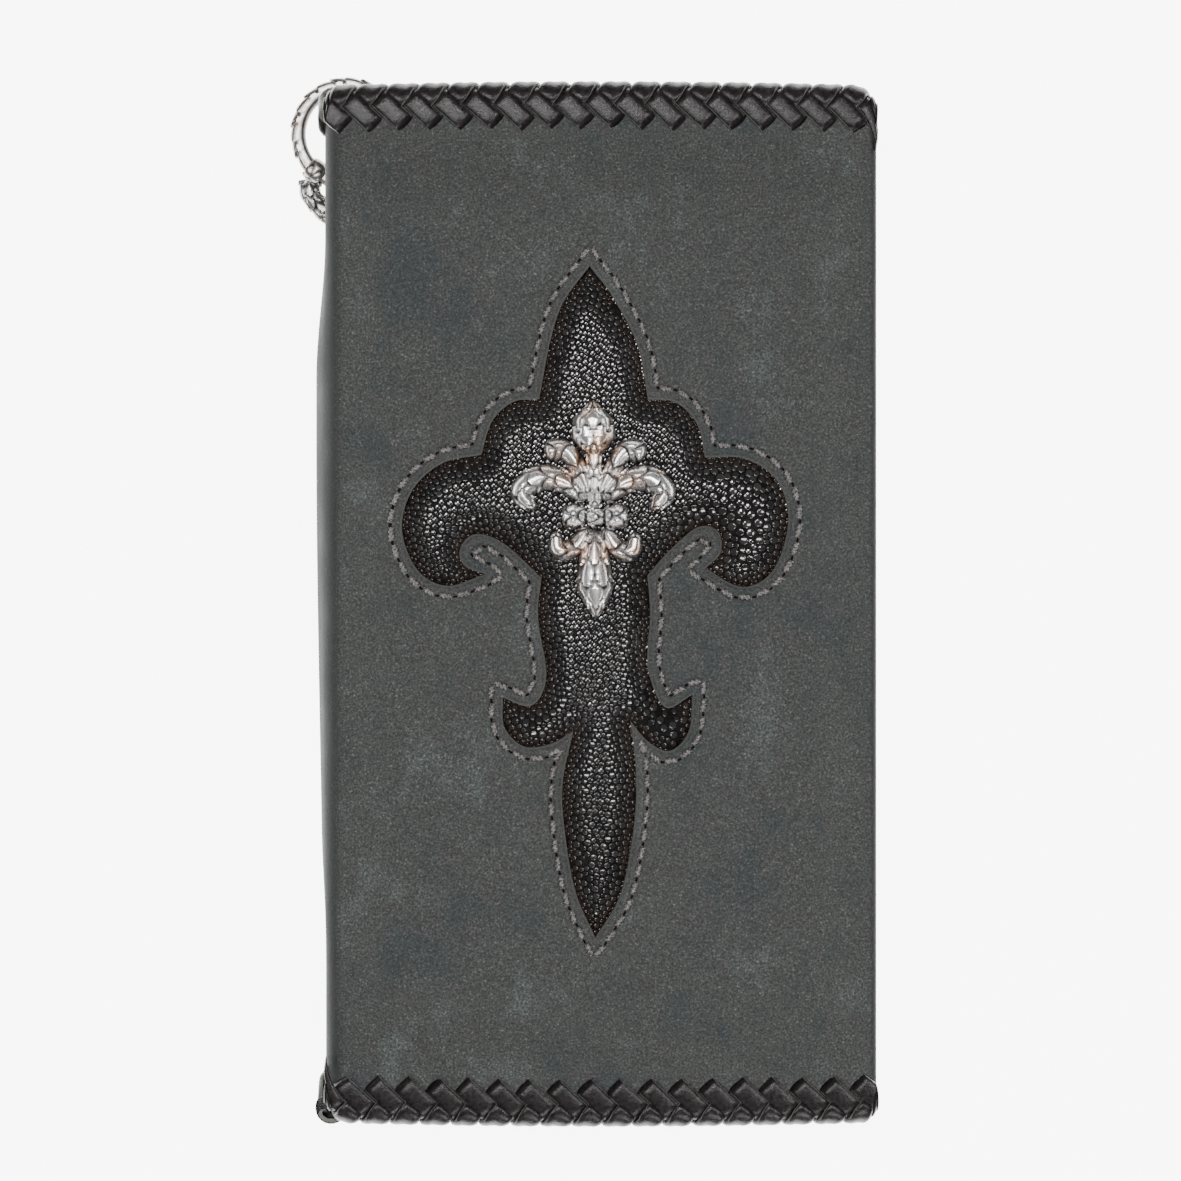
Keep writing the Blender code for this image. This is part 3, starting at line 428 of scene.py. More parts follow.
nubuck, nubuck_tree, nubuck_shader = finish_of("slate_nubuck", Specular_IOR_Level=0.3)
nap_values = place_group(nubuck_tree, nap)
NUBUCK_TONES = [
    (0.34, (0.024, 0.029, 0.029)),
    (0.5, (0.038, 0.0395, 0.0375)),
    (0.68, (0.055, 0.062, 0.0595)),
]
SPECK_TONES = [(0.36, grey(0.45)), (0.58, grey(1.1)), (0.72, (3.0, 3.0, 2.9))]
# The first colour is painted shade for the sides that turn away from flat; RAW_EDGE is the light colour of
# the cut leather.
PAINTED_SIDE_SHADE, RAW_EDGE = (0.005, 0.0055, 0.0055), (0.13, 0.125, 0.115)
nubuck_colour = ramp(nubuck_tree, nap_values["Cloud"], NUBUCK_TONES)
nubuck_speck = ramp(nubuck_tree, nap_values["Speck"], SPECK_TONES)
nubuck_colour = mixed(nubuck_tree, 1.0, nubuck_colour, nubuck_speck, "MULTIPLY")
# Painted shade: the leather is darkened where its section turns away from flat, round the spine's bend and
# the fold at the free edge.
side_shade_mark = mark_of(nubuck_tree, "side")
painted_side_shade = math_of(nubuck_tree, "MULTIPLY", side_shade_mark, 0.85)
nubuck_colour = mixed(nubuck_tree, painted_side_shade, nubuck_colour, PAINTED_SIDE_SHADE)
raw_mark = mark_of(nubuck_tree, "raw")
nubuck_colour = mixed(nubuck_tree, raw_mark, nubuck_colour, RAW_EDGE)
feed(nubuck_tree, nubuck_shader, Base_Color=nubuck_colour)
nubuck_rough = ramp(nubuck_tree, nap_values["Cloud"], [(0.3, grey(0.7)), (0.7, grey(0.85))])
feed(nubuck_tree, nubuck_shader, Roughness=nubuck_rough)
bumped(nubuck_tree, nubuck_shader, nap_values["Height"], 0.5, 0.12)


# ------------------------------------------------------------------ cut-out in the front
# The cross-shaped hole in the front leather, sewn down round its edge. Its outline is fourteen curves that
# meet in corners. The lip is raised between the cut and the seam, and sunk under the stitches.
TOP_TIP, BOTTOM_TIP = (-2.0, 61.4), (-1.0, -60.6)
LEFT_SIDE = [
    [TOP_TIP, (-6.8, 54.8), (-9.2, 47.6), (-11.2, 37.2)],
    [(-11.2, 37.2), (-15.9, 36.7), (-19.8, 33.1), (-21.7, 27.1)],
    [(-21.7, 27.1), (-28.8, 25.6), (-34.3, 20.6), (-36.1, 13.4), (-33.2, 6.1), (-27.8, 3.3), (-21.0, 5.4)],
    [(-21.0, 5.4), (-24.6, 6.9), (-25.5, 9.8), (-22.9, 12.7), (-17.6, 11.0), (-10.8, 4.8)],
    [(-10.8, 4.8), (-11.4, -2.5), (-9.9, -13.2), (-12.6, -18.5), (-17.8, -17.0)],
    [(-17.8, -17.0), (-17.5, -22.4), (-13.9, -25.9), (-9.0, -25.4), (-5.0, -23.1)],
    [(-5.0, -23.1), (-6.9, -32.0), (-6.7, -40.0), (-4.7, -51.9), BOTTOM_TIP],
]
RIGHT_SIDE = [
    [TOP_TIP, (2.2, 55.6), (6.7, 46.8), (8.5, 37.1)],
    [(8.5, 37.1), (13.6, 36.6), (17.5, 32.6), (18.9, 26.6)],
    [(18.9, 26.6), (26.2, 26.4), (32.1, 22.3), (34.0, 14.8), (31.2, 6.1), (25.6, 3.1), (19.0, 6.5)],
    [(19.0, 6.5), (21.7, 9.3), (21.3, 13.2), (17.6, 14.0), (12.6, 9.9), (8.4, 5.2)],
    [(8.4, 5.2), (8.9, -2.0), (8.5, -11.5), (11.6, -18.8), (16.6, -16.5)],
    [(16.6, -16.5), (15.9, -23.2), (12.5, -26.7), (8.6, -25.0), (5.3, -21.2)],
    [(5.3, -21.2), (6.3, -30.0), (6.0, -40.0), (3.6, -52.5), BOTTOM_TIP],
]
CUT_SPACING = 0.85
MITRE_REACH = 9.0  # how far each run is drawn out to find where it meets the next
MITRE_LIMIT = 1.7  # the seam's corners lie at most this many times its offset from the cut's
STITCH_OFFSET = 2.05
LIP = {  # distance outside the cut: height over the cover there
    0.0: -0.75,
    0.15: -0.34,
    0.45: 0.0,
    1.0: 0.17,
    1.65: 0.05,
    2.05: -0.2,
    2.45: -0.03,
    3.1: 0.0,
}


def curve_through(points, steps):
    """A smooth Catmull-Rom curve through the points, with that many steps in each span."""
    p = np.array(points, float)
    p = np.vstack([2 * p[0] - p[1], p, 2 * p[-1] - p[-2]])
    t = np.linspace(0, 1, steps, endpoint=False)[:, None]
    spans = []
    for a, b, c, d in zip(p, p[1:], p[2:], p[3:]):
        spans.append(b + 0.5 * t * (c - a + t * (2 * a - 5 * b + 4 * c - d + t * (3 * (b - c) + d - a))))
    return np.vstack([*spans, p[-2]])


def directions(line):
    """The direction of a line of points at each of them."""
    along = np.gradient(line, axis=0)
    return along / np.linalg.norm(along, axis=1)[:, None]


def evenly(line, spacing):
    """A line's points moved along it so that they are evenly spaced, about that far apart."""
    reach = np.concatenate([[0], np.cumsum(np.linalg.norm(np.diff(line, axis=0), axis=1))])
    stations = np.linspace(0, reach[-1], max(2, round(reach[-1] / spacing)) + 1)
    return np.column_stack([np.interp(stations, reach, line[:, k]) for k in range(line.shape[1])])


def crossing(first, second):
    """Where two lines of points cross, closest to the end of the first and the start of the second: the
    place, and the span of each that it is in."""
    p, r = first[:-1, None], np.diff(first, axis=0)[:, None]
    q, s = second[None, :-1], np.diff(second, axis=0)[None]
    turn = r[..., 0] * s[..., 1] - r[..., 1] * s[..., 0]
    turn = np.where(abs(turn) < 1e-9, 1e-9, turn)
    gap = q - p
    share = (gap[..., 0] * s[..., 1] - gap[..., 1] * s[..., 0]) / turn
    other = (gap[..., 0] * r[..., 1] - gap[..., 1] * r[..., 0]) / turn
    place = p + share[..., None] * r
    reach = np.arange(len(first) - 1)[::-1, None] + np.arange(len(second) - 1)[None] + 0.0
    reach[(share < 0) | (share > 1) | (other < 0) | (other > 1)] = np.inf
    i, j = np.unravel_index(reach.argmin(), reach.shape)
    return place[i, j], i, j


def beside(runs, offset):
    """The runs of a closed outline moved that far outwards, each cut off where it meets the next one."""
    moved = []
    for run in runs:
        along = directions(run)
        line = run + np.column_stack([along[:, 1], -along[:, 0]]) * offset
        drawn = [line[0] - MITRE_REACH * along[0], line, line[-1] + MITRE_REACH * along[-1]]
        moved.append(np.vstack(drawn))
    cuts = []
    for line, after, run in zip(moved, moved[1:] + moved[:1], runs):
        place, last, first = crossing(line, after)
        reach = np.linalg.norm(place - run[-1])
        place = run[-1] + (place - run[-1]) * min(1.0, offset * MITRE_LIMIT / reach)
        cuts.append((place, last, first))
    kept = []
    for i, line in enumerate(moved):
        before, _, first = cuts[i - 1]
        after, last, _ = cuts[i]
        kept.append(np.vstack([before, line[first + 1 : last + 1], after]))
    return kept


def loop_of(runs):
    """One closed loop from runs that meet end to end."""
    return np.vstack([run[:-1] for run in runs])


cut_runs = [evenly(curve_through(run, 8), CUT_SPACING) for run in LEFT_SIDE]
cut_runs += [evenly(curve_through(run[::-1], 8), CUT_SPACING) for run in RIGHT_SIDE[::-1]]
cut_edge = loop_of(cut_runs)


def thinned(loop, spacing):
    """A closed loop without the points that lie closer than that to the one kept before them."""
    kept = [loop[0]]
    for place in loop[1:]:
        if np.linalg.norm(place - kept[-1]) >= spacing:
            kept.append(place)
    return np.array(kept)


front_path = cover_path(FRONT_RIM)
back_path = cover_path(BACK_RIM)


def from_spine(path, x):
    """How far along a half of the case's section a place x on its cover is."""
    return x - SPINE_X - SPINE_BEND + path[0][2]


def section_lines(path, flat_step, round_step):
    """Where the rows of points run across a half of the case: closer together round its bend and fold."""
    marks = path[0]
    steps = (1.0, round_step, flat_step, round_step / 2, 2.0)
    rows = []
    for a, b, step in zip(marks, marks[1:], steps):
        rows.append(np.linspace(a, b, max(2, round((b - a) / step)) + 1)[:-1])
    return np.concatenate(rows)


def end_lines(step):
    """Where the rows of points run along the case: closer together in its rounded corners."""
    corner = CASE_END - FREE_CORNER * (1 - np.sin(np.radians([0, 15, 30, 45, 60, 72, 83])))
    middle = np.linspace(-corner[0], corner[0], round(2 * corner[0] / step))
    return np.concatenate([-corner[:0:-1], middle, corner[1:]])


def case_half(name, path, rim, shape, holes=(), creases=(), step=2.2):
    """A closed sheet that is a half of the case, with its thickness skived down at the fold."""
    marks = path[0]
    us, vs = section_lines(path, step, 0.6), end_lines(step)
    grid = grid_of(us[1:], vs)
    sides = np.concatenate([us, [marks[-1]]])
    edge = np.vstack([
        np.column_stack([sides, np.full(len(sides), -CASE_END)]),
        np.column_stack([np.full(len(vs), marks[-1]), vs]),
        np.column_stack([sides[::-1], np.full(len(sides), CASE_END)]),
        np.column_stack([np.zeros(len(vs)), vs[::-1]]),
    ])
    plan, triangles = plan_mesh(edge, grid, holes, creases, 0.3)
    deep = LEATHER + (SKIVED - LEATHER) * smooth(plan[:, 0], marks[3] - SKIVE_START, marks[3] - SKIVE_STOP)
    outer = case_face(path, rim, shape, plan, 0.0)
    inner = case_face(path, rim, shape, plan, deep)
    raw = np.zeros(len(plan))
    if holes:
        out = distance(plan, holes[0])
        outer[:, 2] += np.interp(out, list(LIP), list(LIP.values()))
        raw = 1 - smooth(out, 0.02, 0.3)
    # Painted shade: how far the section has turned from flat, which darkens the nubuck's colour there.
    side = smooth(abs(np.sin(np.interp(plan[:, 0], path[1], path[2]))), 0.05, 0.6)
    marks = {"raw": np.tile(raw, 2), "side": np.tile(side, 2)}
    return piece(name, np.vstack([outer, inner]), shell_faces(len(plan), triangles), nubuck, marks=marks)


def on_section(loop):
    """A loop of (x, y) on the front cover as (distance along its section, y)."""
    return np.column_stack([from_spine(front_path, loop[:, 0]), loop[:, 1]])


lip_rings = [on_section(thinned(loop_of(beside(cut_runs, out)), 0.4)) for out in list(LIP)[1:]]
front_case = case_half("front_case", front_path, FRONT_RIM, FRONT_SHAPE, [on_section(cut_edge)], lip_rings)
back_case = case_half("back_case", back_path, BACK_RIM, BACK_SHAPE)
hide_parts("front_cover")
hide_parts("back_cover", "spine_leather")


def bend_with_spine(made):
    """Bakes a sheet's placement into its points."""
    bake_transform(made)


bend_with_spine(front_case)
bend_with_spine(back_case)


# ------------------------------------------------------------------ stingray inlay
# A skin of stingray, padded underneath so that it swells through the cut-out, and glued under the
# leather. Its edge sinks below the cut, and its crest runs along the wings and the body.
SKIN = 0.7
SKIN_LOW = FRONT_FLAT - LEATHER - GLUE_GAP
SKIN_CREST = 25.7
DOME_REACH = 5.2  # how far inside the cut it reaches its full height
SKIN_EDGE = np.array([
    *[(-1.5, 67.0), (-9.0, 62.0), (-16.5, 41.0), (-26.0, 32.5), (-37.0, 27.0), (-40.5, 13.0), (-36.0, 0.5)],
    *[(-16.5, -2.0), (-22.5, -15.0), (-22.0, -25.0), (-12.0, -31.5), (-10.0, -50.0), (-1.0, -67.0)],
    *[(8.0, -50.0), (11.0, -31.5), (20.5, -25.0), (21.0, -14.0), (14.0, -2.0), (33.0, 0.0), (38.5, 13.0)],
    *[(35.5, 27.0), (23.0, 33.0), (14.0, 42.0), (6.5, 60.0)],
])[::-1]


def depth_inside(places):
    """How far inside the cut-out each place is, and 0 outside it."""
    return np.where(inside(places, cut_edge), distance(places, cut_edge), 0.0)


def skin_height(places):
    """Outer face of the skin: a quarter sine from the cut up to the crest."""
    rise = np.sin(np.clip(depth_inside(places) / DOME_REACH, 0, 1) * math.pi / 2)
    return SKIN_LOW + (SKIN_CREST - SKIN_LOW) * rise


skin_grid = grid_of(np.arange(-42, 42, 1.3), np.arange(-68, 68, 1.3))
skin_plan, skin_triangles = plan_mesh(SKIN_EDGE, skin_grid, [], [thinned(cut_edge, 0.5)])
skin_top = skin_height(skin_plan)
skin_points = two_faces(skin_plan, skin_top, skin_top - SKIN)

hide, hide_tree, hide_shader = finish_of("stingray_hide", Specular_IOR_Level=0.12)
hide_place = own_place(hide_tree)
hide_cells = cells(hide_tree, hide_place, 2400.0)
hide_tone = noise(hide_tree, hide_place, 180.0, 3.0)
hide_colour = ramp(hide_tree, hide_tone, [(0.35, (0.004, 0.0035, 0.0035)), (0.75, (0.012, 0.009, 0.008))])
feed(hide_tree, hide_shader, Base_Color=hide_colour)
hide_rough = ramp(hide_tree, hide_tone, [(0.3, grey(0.65)), (0.8, grey(0.85))])
feed(hide_tree, hide_shader, Roughness=hide_rough)
bumped(hide_tree, hide_shader, hide_cells, 0.8, 0.15)
skin = piece("stingray_skin", skin_points, shell_faces(len(skin_plan), skin_triangles), hide, sharp=70)
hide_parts("stingray_inlay")
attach(skin, "front_half")


# ------------------------------------------------------------------ stingray beads
# The hide's own pearls: hard black beads that sit edge to edge and are polished on top. They are large on
# the right wing and fins, and small and brown along the edges.
rng = np.random.default_rng(7)
BEAD_RADIUS = 0.6
BIG_BEADS = [  # patches of larger beads: x, y, how far the patch reaches, and how much larger they are
    (24.0, 15.5, 9.0, 0.36),
    (12.0, -21.0, 5.0, 0.22),
    (-12.0, -21.0, 5.0, 0.12),
    (-1.0, -45.0, 9.0, 0.1),
]
BEAD_SIDES = 8
BEAD_RINGS = np.array([(0.6, 1.0), (0.82, 0.92), (0.96, 0.6), (1.0, 0.0)])  # shares of radius and height
BEAD_CROWD = 1.27  # beads drawn, as a share of what would just fill the skin
BEAD_ROUNDS = 34  # of pushing them apart
BEAD_FILL = 0.95  # of its room that a bead takes up
BEAD_HEIGHT = 0.6  # of its radius
BEAD_TILT = 0.035  # how far each bead's polished top may lean
TILT_STEP = 0.2
STEEPEST = 1.2  # slope of the skin that a bead still follows
SPOT_STEP = 0.4


def bead_radius(places, spread):
    """A bead's radius at a place: larger in each patch of big beads, smaller near the cut."""
    size = np.full(len(places), BEAD_RADIUS)
    for x, y, reach, extra in BIG_BEADS:
        size += extra * np.exp(-(((places - (x, y)) / reach) ** 2).sum(axis=1))
    return size * (0.72 + 0.28 * smooth(depth_inside(places), 0.0, 2.2)) * spread


def packed(count_share, rounds):
    """Places and radii of beads that fill the cut-out: drawn at random, as dense as their size there asks
    for, then pushed apart wherever two overlap."""
    spots = grid_of(np.arange(-40, 40, SPOT_STEP), np.arange(-64, 64, SPOT_STEP))
    spots = spots[inside(spots, cut_edge)]
    share = 1 / (2 * math.sqrt(3) * bead_radius(spots, 1.0) ** 2)
    count = int((0.16 * share).sum() * count_share)
    places = spots[rng.choice(len(spots), count, replace=False, p=share / share.sum())]
    places = places + rng.uniform(-0.2, 0.2, places.shape)
    places = places[inside(places, cut_edge)]
    small = rng.uniform(size=len(places)) < 0.4
    spread = np.where(small, rng.uniform(0.62, 0.85, len(places)), rng.uniform(0.95, 1.14, len(places)))
    radius = bead_radius(places, spread)
    for _ in range(rounds):
        apart = (places[:, None] - places[None]).astype(np.float32)
        away = np.sqrt((apart**2).sum(axis=2)) + np.eye(len(places), dtype=np.float32) * 1e3
        push = np.clip((radius[:, None] + radius[None]) / away - 1, 0, 0.6).astype(np.float32)
        moved = places + 0.45 * (apart * push[..., None]).sum(axis=1)
        kept = inside(moved, cut_edge)
        places[kept] = moved[kept]
        radius = bead_radius(places, spread)
    return places, radius


bead_places, bead_sizes = packed(BEAD_CROWD, BEAD_ROUNDS)
bead_sizes = bead_sizes * BEAD_FILL
bead_height = skin_height(bead_places)
bead_tilt = []
for shift in ((TILT_STEP, 0), (0, TILT_STEP)):
    bead_tilt.append((skin_height(bead_places + shift) - bead_height) / TILT_STEP)
turns = np.arange(BEAD_SIDES) * 2 * math.pi / BEAD_SIDES
round_x = np.outer(BEAD_RINGS[:, 0], np.cos(turns)).ravel()
round_y = np.outer(BEAD_RINGS[:, 0], np.sin(turns)).ravel()
round_z = np.repeat(BEAD_RINGS[:, 1], BEAD_SIDES)
bead_tall = bead_sizes * BEAD_HEIGHT
bead_tilt = [tilt + rng.normal(0, BEAD_TILT, len(bead_places)) for tilt in bead_tilt]
normal = np.column_stack([-bead_tilt[0], -bead_tilt[1], np.ones(len(bead_places))])
normal /= np.linalg.norm(normal, axis=1)[:, None]
flat_x, flat_y = bead_sizes[:, None] * round_x, bead_sizes[:, None] * round_y
lean_x, lean_y = (np.clip(tilt, -STEEPEST, STEEPEST)[:, None] for tilt in bead_tilt)
slope = flat_x * lean_x + flat_y * lean_y
up = bead_tall[:, None] * (round_z - 0.08)
bead_points = np.stack([
    bead_places[:, :1] + flat_x + normal[:, :1] * up,
    bead_places[:, 1:] + flat_y + normal[:, 1:2] * up,
    bead_height[:, None] + slope + normal[:, 2:] * up,
], -1)
side = np.arange(BEAD_SIDES)
after = (side + 1) % BEAD_SIDES
bead_walls = []
for ring in range(len(BEAD_RINGS) - 1):
    near, far = ring * BEAD_SIDES, (ring + 1) * BEAD_SIDES
    bead_walls.append(np.column_stack([near + side, far + side, far + after, near + after]))
bead_cap = side[None]
bead_base = ((len(BEAD_RINGS) - 1) * BEAD_SIDES + side)[None, ::-1]
first = (np.arange(len(bead_places)) * bead_points.shape[1])[:, None, None]
bead_faces = []
for part in (bead_cap, np.vstack(bead_walls), bead_base):
    bead_faces.append((first + part[None]).reshape(-1, part.shape[1]))
bead_tone = np.repeat(rng.uniform(0, 1, len(bead_places)), bead_points.shape[1])
bead_brown = np.repeat(1 - smooth(depth_inside(bead_places), 0.4, 2.6), bead_points.shape[1])

pearl, pearl_tree, pearl_shader = finish_of("stingray_pearl", Coat_Weight=0.5, Coat_Roughness=0.06)
tone = mark_of(pearl_tree, "tone")
brown = mark_of(pearl_tree, "brown")
pearl_black = ramp(pearl_tree, tone, [(0.0, (0.007, 0.0065, 0.0065)), (1.0, (0.021, 0.019, 0.0185))])
pearl_brown = (0.026, 0.018, 0.0145)
pearl_colour = mixed(pearl_tree, math_of(pearl_tree, "MULTIPLY", brown, 0.75), pearl_black, pearl_brown)
feed(pearl_tree, pearl_shader, Base_Color=pearl_colour)
pearl_place = own_place(pearl_tree)
pearl_wear = noise(pearl_tree, pearl_place, 900.0, 2.0)
pearl_rough = math_of(pearl_tree, "MULTIPLY_ADD", pearl_wear, 0.14)
pearl_rough.node.inputs[2].default_value = 0.05
feed(pearl_tree, pearl_shader, Roughness=pearl_rough)
beads = piece("stingray_beads", bead_points.reshape(-1, 3), bead_faces, pearl,
              marks={"tone": bead_tone, "brown": bead_brown}, sharp=75)
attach(beads, "front_half")


# ------------------------------------------------------------------ seam round the cut-out
# Saddle stitches of waxed two-ply thread, about eight to the inch. Each sinks into a pricked hole at both
# of its ends, where a dark disc paints the shade in the hole, and the seam lies in a groove a little
# outside the cut.
STITCH_PITCH = 3.3
THREAD_RADIUS = 0.5
STITCH_SINK = 0.42


def tube_faces(count, length, around):
    """Faces of that many closed tubes with that many rings of corners each, and a flat face at each end."""
    index = np.arange(count * length * around).reshape(count, length, around)
    near, far = index[:, :-1], index[:, 1:]
    sides = np.stack([near, np.roll(near, -1, 2), np.roll(far, -1, 2), far], -1).reshape(-1, 4)
    return [sides, index[:, 0, ::-1], index[:, -1]]


def full_turn(count):
    """That many angles, evenly round a full turn."""
    return np.linspace(0, 2 * math.pi, count, endpoint=False)


def stitch_mesh(starts, stops, height, radius, sink, slant=0.16, length=15, around=10):
    """Points of stitches that lie on a face at that height: each a two-ply thread that bows up from its
    first hole to its second. The two plies make its round section an eight that turns along the thread."""
    t = np.linspace(0, 1, length)[None, :, None]
    turn = full_turn(around)[None, None]
    run = stops - starts
    across = np.column_stack([-run[:, 1], run[:, 0]])
    across /= np.linalg.norm(across, axis=1)[:, None]
    ply = radius * (1 + 0.3 * np.cos(2 * (turn - 3.0 * math.pi * t)))
    off = (0.5 - t) * 2 * slant + ply * np.cos(turn)
    x = starts[:, 0, None, None] + run[:, 0, None, None] * t + across[:, 0, None, None] * off
    y = starts[:, 1, None, None] + run[:, 1, None, None] * t + across[:, 1, None, None] * off
    bow = sink * (np.sin(t * math.pi) ** 0.55 - 1)
    z = height[:, None, None] + bow + radius * 0.55 + ply * np.sin(turn) + 0 * x
    return np.stack([x + 0 * z, y + 0 * z, z], -1)


def stitch_holes(runs, pitch):
    """The holes of a seam along runs of points, one at each corner and the rest evenly between."""
    starts, stops = [], []
    for run in runs:
        holes = evenly(run, pitch)
        starts.append(holes[:-1])
        stops.append(holes[1:])
    return np.vstack(starts), np.vstack(stops)


def disc_mesh(places, height, radius, sides=8):
    """Points and faces of low closed discs, each a flat-bottomed cone with a rounded rim."""
    turn = full_turn(sides)
    rings = []
    for share, rise in ((1.0, -0.06), (0.86, 0.0), (0.3, 0.02)):
        x = places[:, 0, None] + radius * share * np.cos(turn)
        y = places[:, 1, None] + radius * share * np.sin(turn)
        rings.append(np.stack([x, y, height[:, None] + rise + 0 * x], -1))
    return np.stack(rings, 1).reshape(-1, 3), tube_faces(len(places), 3, sides)


thread, thread_tree, thread_shader = finish_of("waxed_thread", Specular_IOR_Level=0.6)
thread_place = own_place(thread_tree)
thread_fibre = noise(thread_tree, thread_place, 3200.0, 3.0, 0.7)
THREAD_TONES = [(0.36, (0.016, 0.0145, 0.0145)), (0.64, (0.17, 0.155, 0.152))]
thread_colour = ramp(thread_tree, thread_fibre, THREAD_TONES)
feed(thread_tree, thread_shader, Base_Color=thread_colour)
thread_rough = ramp(thread_tree, thread_fibre, [(0.3, grey(0.55)), (0.8, grey(0.3))])
feed(thread_tree, thread_shader, Roughness=thread_rough)
bumped(thread_tree, thread_shader, thread_fibre, 0.7, 0.08)

# Painted shade: near-black for the dark discs and ovals that stand for the shade in the stitch holes and
# the lace slits.
shade, shade_tree, shade_shader = finish_of("painted_hole_shade", Roughness=0.9, Specular_IOR_Level=0.1)
shade_place = own_place(shade_tree)
shade_fleck = noise(shade_tree, shade_place, 2000.0)
shade_colour = ramp(shade_tree, shade_fleck, [(0.3, grey(0.001)), (0.8, grey(0.005))])
feed(shade_tree, shade_shader, Base_Color=shade_colour)

seam_starts, seam_stops = stitch_holes(beside(cut_runs, STITCH_OFFSET), STITCH_PITCH)
groove = np.full(len(seam_starts), FRONT_FLAT + LIP[STITCH_OFFSET])
inset = 0.12 * (seam_stops - seam_starts)
seam_points = stitch_mesh(seam_starts + inset, seam_stops - inset, groove + 0.1, THREAD_RADIUS, STITCH_SINK)
seam_faces = tube_faces(*seam_points.shape[:3])
seam = piece("cut_out_seam", seam_points.reshape(-1, 3), seam_faces, thread, sharp=80)
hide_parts("inlay_stitching")
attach(seam, "front_half")
# A dark disc at each stitch hole paints the shade in it.
hole_shade_points, hole_shade_faces = disc_mesh(seam_starts, groove + 0.08, 0.42)
seam_hole_shade = piece("cut_out_seam_hole_shade", hole_shade_points, hole_shade_faces, shade)
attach(seam_hole_shade, "front_half")


# ------------------------------------------------------------------ lacing round the ends
# Flat calf lace, 3.7 mm wide and 1 mm thick, worked in a double loop: one row of strands slants from the
# edge into slits in the cover, a second row folds over the edge across them, and a third runs down inside.
LACE_PITCH = 5.52
LACE_HALF_WIDTH = 1.84
LACE_THICKNESS = 1.0
FIRST_SLIT = -46.4
LACE_COUNT = 18
SLIT_REACH = 5.0  # from the start of the rounded edge to the slits
WRAP_END = 92.5  # where the rounded edge starts
LACE_ROWS = {  # where a strand starts and stops along from its slit, and round; its lift; its ends' sink
    "face": ((-5.3, 0.0), (0.1, -SLIT_REACH), 0.05, (0.5, 1.2)),
    "edge": ((-8.2, -4.3), (-0.8, 4.0), 0.42, (0.8, 0.7)),
    "inner": ((-5.4, -1.2), (2.2, 7.4), 0.0, (0.5, 1.0)),
}


def squared_off(value, power):
    """A sine or cosine raised to a power with its sign kept, which turns a round section into an oblong."""
    return np.sign(value) * abs(value) ** power


def lace_strands(starts, along, around, lift, sinks, rng, length=13, corners=14):
    """Strands of lace in wrap coordinates (along the edge, round the edge, lift off the leather).

    Each is a rounded oblong section carried along a straight line, and its ends dive like quarter rounds.
    """
    count = len(starts)
    t = np.linspace(0, 1, length)[None, :, None]
    turn = full_turn(corners)[None, None]
    jitter = rng.normal(0, 0.13, (count, 4))
    a0, a1 = starts + along[0] + jitter[:, 0], starts + along[1] + jitter[:, 1]
    w0, w1 = around[0] + jitter[:, 2] * 0.6, around[1] + jitter[:, 3]
    run = np.column_stack([a1 - a0, w1 - w0])
    across = np.column_stack([run[:, 1], -run[:, 0]]) / np.linalg.norm(run, axis=1)[:, None]
    wide = -squared_off(np.cos(turn), 0.45)
    thick = 0.5 + 0.5 * squared_off(np.sin(turn), 0.45)
    half = LACE_HALF_WIDTH * (1 + rng.normal(0, 0.03, (count, 1, 1)))
    crest = 0.12 * (1 - wide**2)
    near = 1 - np.sqrt(np.clip(1 - (1 - np.clip(t / 0.2, 0, 1)) ** 2, 0, 1))
    far = 1 - np.sqrt(np.clip(1 - (1 - np.clip((1 - t) / 0.24, 0, 1)) ** 2, 0, 1))
    a = a0[:, None, None] + run[:, 0, None, None] * t + across[:, 0, None, None] * wide * half
    w = w0[:, None, None] + run[:, 1, None, None] * t + across[:, 1, None, None] * wide * half
    off = lift + LACE_THICKNESS * thick + crest - sinks[0] * near - sinks[1] * far + 0 * a
    across_map = np.stack([0.5 + 0.5 * wide + 0 * a, t + 0 * a], -1)
    return a, w, off, across_map


def round_edge(w, off, thickness):
    """A place on the wrap as (in from the start of the round, up from the outer face): flat on the outer
    face while w is below 0, then half a turn round the edge, then flat again on the inner face."""
    radius = thickness / 2
    angle = np.clip(w / radius, 0, math.pi)
    out = (radius + off) * np.sin(angle) + np.minimum(w, 0) - np.maximum(w - math.pi * radius, 0)
    up = (radius + off) * np.cos(angle) - radius
    return out, up


def edge_setback(x):
    """How far the case's end has drawn in at x: a slight bow, and the rounded corners."""
    radius = np.where(x > 0, FREE_CORNER, SPINE_CORNER)
    into = np.clip(abs(x) - (EDGE_X - radius), 0, radius * 0.97)
    return END_BOW * (x / EDGE_X) ** 2 + radius - np.sqrt(radius**2 - into**2)


def drawn_in(x, start, stop):
    """x, with what lies past start drawn in so that it never passes stop."""
    room = stop - start
    return np.where(abs(x) > start, np.sign(x) * (start + room * np.tanh((abs(x) - start) / room)), x)


lace_grain, lace_in, lace_out = group_of(
    "lace_grain", {"Grain": 1500.0}, {"Edge": "Float", "Grain": "Float", "Height": "Float"}
)
lace_map = add(lace_grain, "ShaderNodeTexCoord").outputs["UV"]
lace_across = add(lace_grain, "ShaderNodeSeparateXYZ", {0: lace_map})
lace_off = math_of(lace_grain, "ABSOLUTE", math_of(lace_grain, "SUBTRACT", lace_across.outputs[0], 0.5))
lace_place = own_place(lace_grain)
lace_fray = noise(lace_grain, lace_place, 1100.0, 2.0)
lace_edge = plus(lace_grain, lace_off, lace_fray, 0.045)
feed(lace_grain, lace_out, Edge=ramp(lace_grain, lace_edge, [(0.478, grey(0.0)), (0.505, grey(1.0))]))
lace_fine = noise(lace_grain, lace_place, lace_in.outputs["Grain"], 4.0, 0.65)
feed(lace_grain, lace_out, Grain=lace_fine)
lace_cells = cells(lace_grain, lace_place, 2600.0)
feed(lace_grain, lace_out, Height=plus(lace_grain, lace_fine, lace_cells, 0.4))

